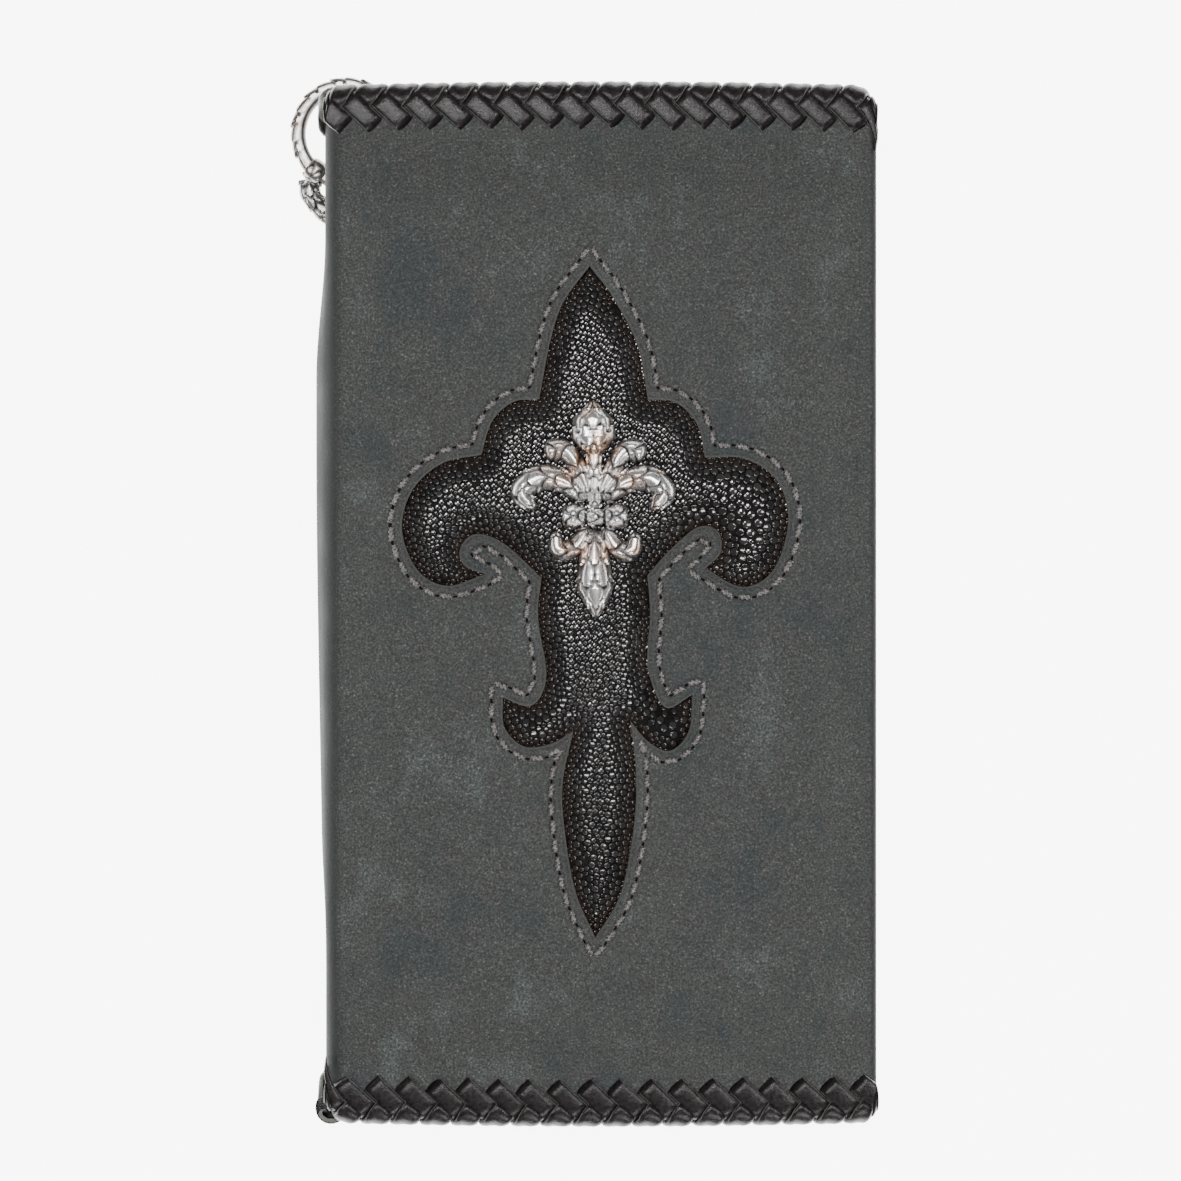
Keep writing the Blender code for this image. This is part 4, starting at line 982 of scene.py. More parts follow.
lace, lace_tree, lace_shader = finish_of("calf_lace", Specular_IOR_Level=0.22)
lace_values = place_group(lace_tree, lace_grain)
LACE_TONES = [(0.3, (0.0055, 0.0042, 0.0047)), (0.75, (0.0165, 0.0128, 0.0138))]
LACE_CUT_EDGE = (0.13, 0.14, 0.12)
lace_colour = ramp(lace_tree, lace_values["Grain"], LACE_TONES)
lace_worn = math_of(lace_tree, "MULTIPLY", lace_values["Edge"], 0.8)
lace_colour = mixed(lace_tree, lace_worn, lace_colour, LACE_CUT_EDGE)
feed(lace_tree, lace_shader, Base_Color=lace_colour)
lace_rough = ramp(lace_tree, lace_values["Grain"], [(0.25, grey(0.26)), (0.8, grey(0.4))])
feed(lace_tree, lace_shader, Roughness=lace_rough)
bumped(lace_tree, lace_shader, lace_values["Height"], 0.45, 0.1)


def lacing_piece(name, node, body, parts, slit_shade):
    """One end's lacing from its rows of strands, and dark ovals of painted shade in the slits that they go
    into.
    """
    points = [part[0].reshape(-1, 3) for part in parts]
    faces, across, start = [[], [], []], [], 0
    for (place, spread), flat in zip(parts, points):
        for kept, part in zip(faces, tube_faces(*place.shape[:3])):
            kept.append(part + start)
        across.append(spread.reshape(-1, 2))
        start += len(flat)
    faces = [np.vstack(kept) for kept in faces]
    made = piece(name, np.vstack(points), faces, lace, np.vstack(across), sharp=50)
    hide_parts(node)
    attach(made, body)
    dark = piece(name + "_slit_shade", *slit_shade, shade)
    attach(dark, body)


COVER_THICKNESS = FRONT_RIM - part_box("front_lining")[0].z / MM
slit_starts = FIRST_SLIT + LACE_PITCH * np.arange(LACE_COUNT)
edge_starts = FIRST_SLIT + LACE_PITCH * np.arange(LACE_COUNT + 2)


def cover_wrap(a, w, off, end, rim, side, shape):
    """Wrap coordinates at one end of a cover as places in space. End is 1 for +Y, and side is 1 for the
    front."""
    x = drawn_in(a, 46.5, EDGE_X + 0.4)
    out, up = round_edge(w, off, COVER_THICKNESS)
    y = WRAP_END - edge_setback(x) + out
    proud = crown(x, y, **shape) * (w < 0)
    return np.stack([end * x, end * y, rim + side * (up + proud)], -1)


def slit_shade_mesh(place, starts, around, half=1.7):
    """Painted shade in the slits of the leather: low closed dark ovals slanted across the end of each
    strand.
    """
    turn = full_turn(10)
    a = starts[:, None] - 0.1 + half * np.cos(turn) * 0.72 + 0.32 * np.sin(turn)
    w = around + 0.5 + half * np.cos(turn) * 0.72 - 0.32 * np.sin(turn) + 0 * a
    rings = [place(a, w, np.full_like(a, lift)) for lift in (-0.25, 0.04)]
    return np.stack(rings, 1).reshape(-1, 3), tube_faces(len(starts), 2, 10)


for cover, rim, side, shape in (("front", FRONT_RIM, 1, FRONT_SHAPE), ("back", BACK_RIM, -1, BACK_SHAPE)):
    for end_name, end in (("upper", 1), ("lower", -1)):
        rng = np.random.default_rng(20 + end + 3 * side)

        def place(a, w, off):
            """Wrap coordinates at this end of this cover as places in space."""
            return cover_wrap(a, w, off, end, rim, side, shape)

        rows = []
        for row, (along, around, lift, sinks) in LACE_ROWS.items():
            starts = edge_starts[:-1] if row == "face" else edge_starts
            a, w, off, spread = lace_strands(starts, along, around, lift, sinks, rng)
            rows.append((place(a, w, off), spread))
        slit_shade = slit_shade_mesh(place, slit_starts, -SLIT_REACH)
        node = f"{cover}_lacing_{end_name}"
        lacing_piece(f"{node}_strands", node, f"{cover}_half", rows, slit_shade)

SPINE_STRANDS = MID_SPINE + LACE_PITCH * np.array([-0.25, 0.75]) + 1.4
SPINE_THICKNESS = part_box("spine_lining")[1].x / MM - SPINE_X
for end_name, end in (("upper", 1), ("lower", -1)):
    rng = np.random.default_rng(40 + end)

    def place(a, w, off):
        """Wrap coordinates at one end of the upright spine as places in space."""
        out, up = round_edge(w, off, SPINE_THICKNESS)
        height = MID_SPINE + drawn_in(a - MID_SPINE, 3.0, 5.4)
        y = WRAP_END - 0.3 + out
        return np.stack([SPINE_X - 0.45 - up, end * y, MID_SPINE + end * (height - MID_SPINE)], -1)

    rows = []
    for along, around, lift, sinks in LACE_ROWS.values():
        a, w, off, spread = lace_strands(SPINE_STRANDS, along, around, lift, sinks, rng)
        rows.append((place(a, w, off), spread))
    slit_shade = slit_shade_mesh(place, SPINE_STRANDS, -SLIT_REACH)
    node = f"spine_lacing_{end_name}"
    lacing_piece(f"{node}_strands", node, "spine", rows, slit_shade)


# ------------------------------------------------------------------ concho
# A fleur-de-lis cast in silver, carved all over with overlapping leaf scales, blackened in its grooves and
# polished on top. Two screws hold it from behind.
CONCHO_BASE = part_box("fleur_concho")[0].z / MM
CONCHO_LOBES = [  # a lobe's line, its half widths along it, its height, and its scales along and across
    ([(-1.1, 17.0), (-1.3, 22.0), (-1.3, 28.4)], [1.3, 1.6, 1.3], 1.5, (5, 2)),
    ([(-2.0, 19.4), (-3.9, 24.0), (-6.7, 27.9), (-10.2, 27.2)], [0.9, 1.4, 1.7, 2.2], 2.7, (5, 1)),
    ([(-0.6, 19.4), (1.9, 24.0), (4.6, 27.8), (8.1, 27.0)], [0.9, 1.4, 1.7, 2.2], 2.7, (5, 1)),
    ([(-2.7, 18.8), (-7.0, 22.3), (-11.5, 22.7), (-14.3, 20.0), (-11.8, 17.2)],
     [1.3, 2.0, 2.3, 2.2, 0.9], 3.3, (7, 2)),
    ([(0.4, 18.8), (4.8, 22.2), (9.0, 22.6), (11.4, 19.9), (8.9, 17.0)],
     [1.3, 2.0, 2.3, 2.2, 0.9], 3.3, (7, 2)),
    ([(-2.2, 13.9), (-4.9, 10.3), (-7.6, 10.0), (-8.2, 13.2)], [1.2, 1.6, 1.8, 0.8], 2.7, (4, 1)),
    ([(0.6, 13.9), (3.2, 10.0), (5.6, 9.9), (6.3, 13.0)], [1.2, 1.6, 1.8, 0.8], 2.7, (4, 1)),
    ([(-1.2, 13.4), (-1.2, 9.4), (-1.1, 4.4), (-0.9, -2.5)], [1.5, 2.7, 3.3, 0.6], 3.6, (4, 3)),
    ([(-1.3, 26.8), (-1.4, 30.6), (-1.5, 33.4), (-1.5, 36.9)], [1.5, 4.0, 3.5, 0.4], 3.9, (3, 4)),
    ([(-2.7, 15.9), (-4.8, 15.9), (-7.1, 15.9)], [1.7, 2.3, 1.7], 4.1, (2, 2)),
    ([(0.5, 15.9), (2.6, 15.9), (4.9, 15.9)], [1.7, 2.3, 1.7], 4.1, (2, 2)),
    ([(-2.7, 15.7), (-1.0, 15.7), (0.6, 15.7)], [1.3, 1.7, 1.3], 4.3, (1, 2)),
]
SCALE_LAP = 0.6  # how far a scale's tip lies over the next row, as a share of a row
SCALE_DEPTH = 0.6
CONCHO_SUNK = 0.25  # how far the casting sits in the skin


def scale_pattern(along, across):
    """A carved scale's rise and how near its groove a place is, for counts of scales along and across.

    Each row's scales end in rounded tips that lie over the next row, half a scale to the side. A scale
    rises towards its tip, with a ridge down its middle, and stops short in a groove beyond it.
    """
    row = np.floor(along)
    into = along - row
    before, here = (across + 0.5 * row - 0.5) % 1.0, (across + 0.5 * row) % 1.0
    tip = SCALE_LAP * (1 - (2 * before - 1) ** 2)
    over = into < tip
    column = np.where(over, before, here)
    reach = np.where(over, 1 + into, into) / (1 + SCALE_LAP * (1 - (2 * column - 1) ** 2))
    beyond = np.where(over, 1.0, smooth(into - tip, 0.05, 0.32))
    beside_it = smooth(np.minimum(column, 1 - column), 0.02, 0.12)
    rise = (0.25 + 0.55 * reach + 0.2 * (1 - abs(2 * column - 1))) * (0.3 + 0.7 * beyond * beside_it)
    return rise, 1 - beyond * (0.25 + 0.75 * beside_it)


def carved_tubes(lines, sides, ups, half, tall, counts, floor, relief=SCALE_DEPTH, around=44):
    """Points and groove marks of carved tubes: an oval section carried along lines of places, with its flat
    back no lower than floor times its height, and scales raised on it along its own outward direction."""
    turn = full_turn(around)
    u, v = -np.cos(turn), np.maximum(np.sin(turn), floor)
    share = np.linspace(0, 1, lines.shape[0])[:, None]
    rise, groove = scale_pattern(share * counts[0], turn[None] / math.pi * counts[1])
    fade = smooth(np.sin(turn), floor - 0.05, floor + 0.35)[None]
    lift = 1 + relief * (rise - 0.5) * fade / np.maximum(half, 0.6)[:, None]
    points = (lines[:, None] + sides[:, None] * (u * half[:, None] * lift)[..., None]
              + ups[:, None] * (v * tall[:, None] * lift)[..., None])
    low = 1 - smooth(np.sin(turn), 0.05, 0.5)[None] * (floor > -0.5) - (floor <= -0.5)
    return points, np.maximum(groove * fade, low) * min(1.0, relief / SCALE_DEPTH)


def rounded_ends(share, reach):
    """1 along a lobe, falling to nothing at its two ends like quarter rounds of that share of it."""
    near = np.clip(np.minimum(share, 1 - share) / reach, 0, 1)
    return np.sqrt(1 - (1 - near) ** 2)


def lobe_mesh(line, widths, height, counts, base, relief=SCALE_DEPTH):
    """A carved lobe with a flat back at base, along a smooth flat line."""
    path = evenly(curve_through(line, 12), 0.17)
    share = np.linspace(0, 1, len(path))
    ends = 0.06 + 0.94 * rounded_ends(share, 0.12)
    half = np.interp(share, np.linspace(0, 1, len(widths)), widths)
    tall = height * (0.45 + 0.55 * half / max(widths)) * ends
    along = directions(path)
    sides = np.column_stack([along[:, 1], -along[:, 0], 0 * share])
    ups = np.tile([0.0, 0.0, 1.0], (len(path), 1))
    lines = np.column_stack([path, np.full(len(path), base)])
    return carved_tubes(lines, sides, ups, half * ends, tall, counts, -0.1, relief)


worn, worn_in, worn_out = group_of(
    "worn_metal",
    {"Groove": 0.0, "Scratch": 1.0},
    {"Tarnish": "Float", "Scratch": "Float", "Height": "Float"},
)
worn_place = own_place(worn)
worn_cloud = noise(worn, worn_place, 420.0, 4.0, 0.6)
worn_uneven = math_of(worn, "MULTIPLY", math_of(worn, "SUBTRACT", worn_cloud, 0.5), 0.55)
worn_black = math_of(worn, "ADD", worn_in.outputs["Groove"], worn_uneven, clamp=True)
feed(worn, worn_out, Tarnish=worn_black)
worn_fine = noise(worn, drawn_out(worn, worn_place, 0.22), 2600.0, 3.0)
feed(worn, worn_out, Scratch=math_of(worn, "MULTIPLY", worn_fine, worn_in.outputs["Scratch"]))
feed(worn, worn_out, Height=plus(worn, worn_fine, worn_cloud, 1.5))


def metal_finish(name, bright, warm, dark, polish):
    """A worn metal: bright on its high places with warm stains, dark in the grooves its mesh marks."""
    material, tree, shader = finish_of(name)
    values = place_group(tree, worn, Groove=mark_of(tree, "groove"))
    stain = ramp(tree, noise(tree, own_place(tree), 160.0, 3.0), [(0.45, bright), (0.72, warm)])
    rough = ramp(tree, values["Tarnish"], [(0.0, grey(polish)), (0.8, grey(0.55))])
    feed(tree, shader,
         Base_Color=mixed(tree, values["Tarnish"], stain, dark),
         Roughness=mixed(tree, values["Scratch"], rough, grey(0.38)),
         Metallic=ramp(tree, values["Tarnish"], [(0.4, grey(1.0)), (1.0, grey(0.55))]))
    bumped(tree, shader, values["Height"], 0.25, 0.04)
    return material


silver = metal_finish(
    "oxidised_silver", (0.88, 0.86, 0.85), (0.66, 0.47, 0.36), (0.01, 0.008, 0.0075), 0.19
)
aged_silver = metal_finish(
    "aged_silver", (0.34, 0.325, 0.315), (0.2, 0.155, 0.125), (0.012, 0.01, 0.009), 0.26
)


def carved_piece(name, tubes, material, sharp=50):
    """One mesh from carved tubes, each given as its points and its groove marks."""
    faces, start = [], 0
    for points, _ in tubes:
        faces += [part + start for part in tube_faces(1, *points.shape[:2])]
        start += points.shape[0] * points.shape[1]
    quads = [part for part in faces if part.shape[1] == 4]
    caps = [part for part in faces if part.shape[1] > 4]
    points = np.vstack([part.reshape(-1, 3) for part, _ in tubes])
    groove = np.concatenate([part.ravel() for _, part in tubes])
    return piece(name, points, [np.vstack(quads), *caps], material, marks={"groove": groove}, sharp=sharp)


concho_tubes = []
for line, widths, height, counts in CONCHO_LOBES:
    concho_tubes.append(lobe_mesh(line, widths, height, counts, CONCHO_BASE - CONCHO_SUNK))
concho = carved_piece("fleur_concho_carved", concho_tubes, silver)
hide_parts("fleur_concho")
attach(concho, "front_half")


# ------------------------------------------------------------------ chain ring and bail
# A cast silver ring, carved round its outside, that hangs in the eye of a cast bail. The bail swings on a
# pin in a plate riveted under the spine's upper corner, so that the ring lies half under the case.
ring_low, ring_high = (np.array(corner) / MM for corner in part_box("chain_ring"))
RING_CENTRE = (ring_low + ring_high) / 2
RING_OUTER = (ring_high[0] - ring_low[0]) / 2
RING_INNER = RING_OUTER - 2.0
RING_STEPS = 260


def ring_mesh():
    """The ring: a rounded oblong section turned round an upright axis, with scales on its outer side."""
    turn = full_turn(RING_STEPS)[:, None]
    angle = full_turn(28)[None]
    out = squared_off(np.cos(angle), 0.6)
    up = squared_off(np.sin(angle), 0.6)
    rise, groove = scale_pattern(turn / (2 * math.pi) * 22, angle / math.pi * 1.5)
    outside = smooth(np.cos(angle), -0.15, 0.35)
    middle = (RING_OUTER + RING_INNER) / 2
    radius = middle - 0.15 + out * (RING_OUTER - RING_INNER + 0.5) / 2 + 0.9 * (rise - 0.45) * outside * out
    height = RING_CENTRE[2] + up * (ring_high[2] - ring_low[2]) / 2 + 0.2 * (rise - 0.5) * outside * up
    x = RING_CENTRE[0] + radius * np.cos(turn)
    y = RING_CENTRE[1] + radius * np.sin(turn)
    points = np.stack([x, y, height + 0 * radius], -1)
    return points, np.maximum(groove * outside, 0.9 * smooth(-out, 0.55, 0.9))


def hoop_faces(rows, columns):
    """Faces of a grid of points that closes on itself both ways."""
    index = np.arange(rows * columns).reshape(rows, columns)
    after = np.roll(index, -1, 1)
    return np.stack([index, after, np.roll(after, -1, 0), np.roll(index, -1, 0)], -1).reshape(-1, 4)


ring_points, ring_groove = ring_mesh()
ring = piece("chain_ring_carved", ring_points.reshape(-1, 3), [hoop_faces(*ring_points.shape[:2])],
             aged_silver, marks={"groove": ring_groove.ravel()}, sharp=50)
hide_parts("chain_ring")
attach(ring, "ring")

pin_low, pin_high = (np.array(corner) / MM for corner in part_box("bail_pin"))
PIN_PLACE = (pin_low + pin_high)[:2] / 2
EYE_TURN = math.radians(231.0)
EYE_WALL = 0.45
EYE_STEPS = 61
eye_out = np.array([math.cos(EYE_TURN), math.sin(EYE_TURN), 0.0])
eye_along = np.array([-eye_out[1], eye_out[0], 0.0])
up_axis = np.array([0.0, 0.0, 1.0])


def eye_mesh():
    """The bail's eye: a carved band carried round the ring's section, standing across it."""
    share = np.linspace(0, 1, EYE_STEPS)
    turn = share * 2 * math.pi
    middle = RING_CENTRE + eye_out * (RING_OUTER + RING_INNER) / 2
    reach_out, reach_up = 1.4 + EYE_WALL, 1.9 + EYE_WALL
    outs = squared_off(np.cos(turn), 0.7)
    ups = squared_off(np.sin(turn), 0.7)
    lines = middle + eye_out * (outs * reach_out)[:, None] + up_axis * (ups * reach_up)[:, None]
    outward = eye_out * np.cos(turn)[:, None] + up_axis * np.sin(turn)[:, None]
    sides = np.tile(eye_along, (EYE_STEPS, 1))
    half, tall = np.full(EYE_STEPS, 1.6), np.full(EYE_STEPS, EYE_WALL)
    return carved_tubes(lines, sides, outward, half, tall, (6, 2), -1.0)


ARM_TURNS = [(-54.3, 76.6), (-51.6, 73.6)]  # places that the arm passes between the eye and the pin
ARM_HEIGHT = 2.4
arm_start = (RING_CENTRE + eye_out * (RING_OUTER + 0.9))[:2]
arm_path = evenly(curve_through([arm_start, *ARM_TURNS, PIN_PLACE], 8), 0.2)
arm_share = np.linspace(0, 1, len(arm_path))
arm_along = directions(arm_path)
arm = carved_tubes(
    np.column_stack([arm_path, np.full(len(arm_path), ARM_HEIGHT)]),
    np.column_stack([arm_along[:, 1], -arm_along[:, 0], 0 * arm_share]),
    np.tile(up_axis, (len(arm_path), 1)),
    np.interp(arm_share, [0, 0.4, 0.8, 1], [2.1, 1.7, 2.1, 2.3]),
    np.interp(arm_share, [0, 0.5, 1], [1.5, 1.3, 1.3]),
    (5, 3),
    -1.0,
)
bail = carved_piece("chain_bail_carved", [eye_mesh(), arm], aged_silver)
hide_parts("chain_bail")
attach(bail, "bail")


def refinished(nodes, material):
    """Gives a finish to nodes that are kept as they are in the part."""
    for node in nodes:
        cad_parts[node].data.materials.clear()
        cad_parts[node].data.materials.append(material)


refinished(["bail_plate", "bail_pin", "bail_rivet_lower", "bail_rivet_upper"], aged_silver)
refinished(["concho_post_upper", "concho_post_lower"], aged_silver)
refinished(["concho_screw_upper", "concho_screw_lower"], aged_silver)


# ------------------------------------------------------------------ linings
# Thin smooth calf glued inside the case. A front and a back sheet meet half way down the spine, and each
# ends at the case's turned-in hem.
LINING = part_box("front_lining")[1].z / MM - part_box("front_lining")[0].z / MM
LINING_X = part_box("spine_lining")[0].x / MM
LINING_END = 93.0
LINING_BEND = 2.0
LINING_ROWS, LINING_COLUMNS = (8, 8, 40), 75
HEM_GAP = 0.15

grain, grain_in, grain_out = group_of(
    "smooth_grain",
    {"Pores": 1700.0, "Cloud": 70.0},
    {"Cloud": "Float", "Crease": "Float", "Height": "Float"},
)
grain_place = own_place(grain)
grain_cells = cells(grain, grain_place, grain_in.outputs["Pores"])
grain_fine = noise(grain, grain_place, 420.0, 4.0, 0.6)
feed(grain, grain_out, Cloud=noise(grain, grain_place, grain_in.outputs["Cloud"], 4.0, 0.6))
feed(grain, grain_out, Crease=grain_fine)
feed(grain, grain_out, Height=plus(grain, grain_cells, grain_fine, 1.4))


def grained(name, dark, light, smoothest, roughest, specular=0.22, bump=0.35):
    """A leather with pebbled grain, dark to light in soft clouds and smoothest to roughest over its
    creases."""
    material, tree, shader = finish_of(name, Specular_IOR_Level=specular)
    values = place_group(tree, grain)
    feed(tree, shader,
         Base_Color=ramp(tree, values["Cloud"], [(0.3, dark), (0.72, light)]),
         Roughness=ramp(tree, values["Crease"], [(0.3, grey(smoothest)), (0.75, grey(roughest))]))
    bumped(tree, shader, values["Height"], bump, 0.1)
    return material


calf = grained("smooth_calf", (0.006, 0.006, 0.0065), (0.016, 0.0155, 0.0155), 0.36, 0.55)


def lining_half(name, rim, side, shape):
    """A closed sheet that lines half of the case, from mid spine round the bend to the case's hem. Rim is
    the height of its outer face, and side is 1 for the front."""
    half_height = abs(rim - MID_SPINE)
    reach = EDGE_X - HEM - HEM_GAP - LINING_X - LINING_BEND
    lengths = (half_height - LINING_BEND, LINING_BEND * math.pi / 2, reach)
    marks, along, turn, across, up = section_path(lengths, (90, 90, 0, 0))
    spans = [np.linspace(*ends, count) for *ends, count in zip(marks, marks[1:], LINING_ROWS)]
    rows = np.concatenate([spans[0][:-1], spans[1][:-1], spans[2]])
    columns = np.linspace(-LINING_END, LINING_END, LINING_COLUMNS)
    s, y = (part.ravel() for part in np.meshgrid(rows, columns, indexing="ij"))
    angle = np.interp(s, along, turn)
    layers = []
    for depth in (0.0, LINING):
        x = LINING_X + np.interp(s, along, across) + depth * np.sin(angle)
        rise = np.interp(s, along, up) - depth * np.cos(angle)
        layers.append(np.column_stack([x, y, MID_SPINE + side * (rise + crown(x, y, **shape))]))
    index = np.arange(len(s)).reshape(len(rows), len(columns))
    corners = (index[:-1, :-1], index[1:, :-1], index[1:, 1:], index[:-1, 1:])
    a, b, c, d = (part.ravel() for part in corners)
    triangles = np.vstack([np.column_stack([a, b, c]), np.column_stack([a, c, d])])
    made = piece(name, np.vstack(layers), shell_faces(len(s), triangles), calf, sharp=60)
    return made


FLAT_SHAPE = {**FRONT_SHAPE, "rise": 0.0}
front_sheet = lining_half("front_lining_sheet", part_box("front_lining")[1].z / MM, 1, FLAT_SHAPE)
back_sheet = lining_half("back_lining_sheet", BACK_RIM + LEATHER + GLUE_GAP, -1, BACK_SHAPE)
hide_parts("front_lining", "spine_lining")
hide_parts("back_lining")
bend_with_spine(front_sheet)
bend_with_spine(back_sheet)


# ------------------------------------------------------------------ bill panel and card pockets
# Sheets of the same calf sewn to the front half's inside: a panel that holds bills behind it, and on it
# three card pockets above and three below, each with a thumb notch in its mouth and a pressed line.
EDGE_ROUND = 0.22
CREASE_IN = 1.3  # how far in from its edge a sheet's pressed line runs
CREASE_HALF, CREASE_DEEP = 0.25, 0.1
NOTCH_HALF, NOTCH_DEEP = 10.0, 4.0


def rounded_box(x0, x1, y0, y1, corner, steps=6):
    """A closed rectangle with rounded corners, anticlockwise."""
    turn = np.linspace(0, math.pi / 2, steps + 1)
    places = []
    for k, (x, y) in enumerate(((x1, y1), (x0, y1), (x0, y0), (x1, y0))):
        centre = (x - corner if x == x1 else x + corner, y - corner if y == y1 else y + corner)
        places.append(np.column_stack([centre[0] + corner * np.cos(turn + k * math.pi / 2),
                                       centre[1] + corner * np.sin(turn + k * math.pi / 2)]))
    return evenly(np.vstack([*places, places[0][:1]]), 1.5)[:-1]


def drawn_inwards(loop, reach):
    """A closed anticlockwise loop with each of its points moved inwards."""
    along = np.roll(loop, -1, axis=0) - np.roll(loop, 1, axis=0)
    along /= np.linalg.norm(along, axis=1)[:, None]
    return loop + np.column_stack([-along[:, 1], along[:, 0]]) * reach


def panel(name, edge, low, high, material, body, slot, *nodes, holes=(), crease=CREASE_IN, grid_step=3.0):
    """A flat sheet between two heights, with rounded edges and a line pressed in along its outer edge.
    Holes are loops, and the nodes are what it replaces."""
    low_x, low_y = edge.min(axis=0)
    high_x, high_y = edge.max(axis=0)
    grid = grid_of(np.arange(low_x, high_x, grid_step), np.arange(low_y, high_y, grid_step))
    reaches = [EDGE_ROUND * 0.4, EDGE_ROUND]
    if crease:
        reaches += [crease - CREASE_HALF, crease, crease + CREASE_HALF]
    rings = [drawn_inwards(edge, reach) for reach in reaches]
    plan, triangles = plan_mesh(edge, grid, holes, rings, 0.5)
    into = distance(plan, edge)
    for hole in holes:
        into = np.minimum(into, distance(plan, hole))
    half = (high - low) / 2
    round_off = half * 0.7 * (1 - np.sqrt(1 - (1 - np.clip(into / EDGE_ROUND, 0, 1)) ** 2))
    groove = CREASE_DEEP * (abs(distance(plan, edge) - crease) < 0.05) if crease else 0.0
    points = two_faces(plan, high - round_off - groove, low + round_off + groove)
    made = piece(name, points, shell_faces(len(plan), triangles), material, sharp=50)
    if nodes:
        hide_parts(*nodes)
    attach(made, body)
    return made


def box_of(name):
    """The corners of a node's box in millimetres, as (x0, x1, y0, y1, z0, z1)."""
    low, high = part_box(name)
    return [value / MM for pair in zip(low, high) for value in pair]


x0, x1, y0, y1, z0, z1 = box_of("front_bill_panel")
panel("bill_panel_leather", rounded_box(x0, x1, y0, y1, 2.0), z0, z1, calf, "front_half",
      "smooth_leather", "front_bill_panel")
for row in ("upper", "lower"):
    for number in (1, 2, 3):
        node = f"card_pocket_{row}_{number}"
        x0, x1, y0, y1, z0, z1 = box_of(node)
        outline = rounded_box(x0, x1, y0, y1, 1.5)
        middle = (y0 + y1) / 2
        dip = NOTCH_DEEP * smooth(NOTCH_HALF - abs(outline[:, 1] - middle), 0.0, NOTCH_HALF * 0.8)
        outline[:, 0] += dip * (outline[:, 0] < x0 + 0.1)
        panel(f"{node}_leather", outline, z0, z1, calf, "front_half", "smooth_leather", node)


SMALL_PITCH = 2.8
SMALL_THREAD = 0.28
SMALL_SINK = 0.25
SEAM_IN = 1.9


def seam_row(name, lines, heights, facing, body):
    """Rows of small stitches along straight lines on sheets. Heights gives the sheet's face at each stitch;
    facing is 1 for a face that looks up at rest and -1 for one that looks down."""
    starts, stops = stitch_holes(np.array(lines, float), SMALL_PITCH)
    face = facing * heights((starts + stops) / 2)
    inset = 0.1 * (stops - starts)
    points = stitch_mesh(starts + inset, stops - inset, face, SMALL_THREAD, SMALL_SINK, 0.05, 7, 6)
    points[..., 2] *= facing
    made = piece(name, points.reshape(-1, 3), tube_faces(*points.shape[:3]), thread, sharp=80)
    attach(made, body)


pockets = [box_of(f"card_pocket_upper_{number}") for number in (1, 2, 3)]
bill = box_of("front_bill_panel")


def pocket_face(places):
    """Height of the lowest sheet under each place: the bill panel's, then each pocket's past its mouth."""
    height = np.full(len(places), bill[4])
    for mouth, _, _, _, low, _ in pockets:
        height = np.where(places[:, 0] > mouth + 0.4, low, height)
    return height


mouth_x, base_x = pockets[0][0] + 1, pockets[0][1] - SEAM_IN
near_y, far_y = pockets[0][2] + SEAM_IN, pockets[0][3] - SEAM_IN
pocket_rows = []
for side in (1, -1):
    for y in (far_y, near_y):
        pocket_rows.append(((mouth_x, side * y), (base_x, side * y)))
for side in (1, -1):
    pocket_rows.append(((base_x, side * near_y), (base_x, side * far_y)))
seam_row("card_pocket_seams", pocket_rows, pocket_face, -1, "front_half")


# ------------------------------------------------------------------ coin pouch and zip
# A bellows pouch on the back half, closed by a metal zip let into its front. The zip's tapes are woven
# cotton, and its teeth are stamped alternately on the two cords.
ZIP_X = (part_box("zip_teeth")[0].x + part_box("zip_teeth")[1].x) / 2 / MM
x0, x1, y0, y1, z0, z1 = box_of("coin_pouch_rear")
panel("coin_pouch_rear_leather", rounded_box(x0, x1, y0, y1, 3.0), z0, z1, calf, "back_half",
      "smooth_leather", "coin_pouch_rear")

x0, x1, y0, y1, z0, z1 = box_of("coin_pouch_gusset")
gusset_edge = rounded_box(x0, x1, y0, y1, 4.0)
BELLOWS = [(0.0, 0.0), (0.25, 0.5), (0.5, 1.0), (0.75, 0.5), (1.0, 0.0)]  # share of its height, how far out
gusset_walls = []
for wall, rows in ((0.0, BELLOWS), (1.0, BELLOWS[::-1])):
    for share, out in rows:
        loop = drawn_inwards(gusset_edge, wall - out)
        gusset_walls.append(np.column_stack([loop, np.full(len(loop), z0 + share * (z1 - z0))]))
gusset_points = np.stack(gusset_walls)
gusset_faces = hoop_faces(*gusset_points.shape[:2])
gusset = piece("coin_pouch_bellows", gusset_points.reshape(-1, 3), [gusset_faces], calf, sharp=50)
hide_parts("coin_pouch_gusset")
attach(gusset, "back_half")

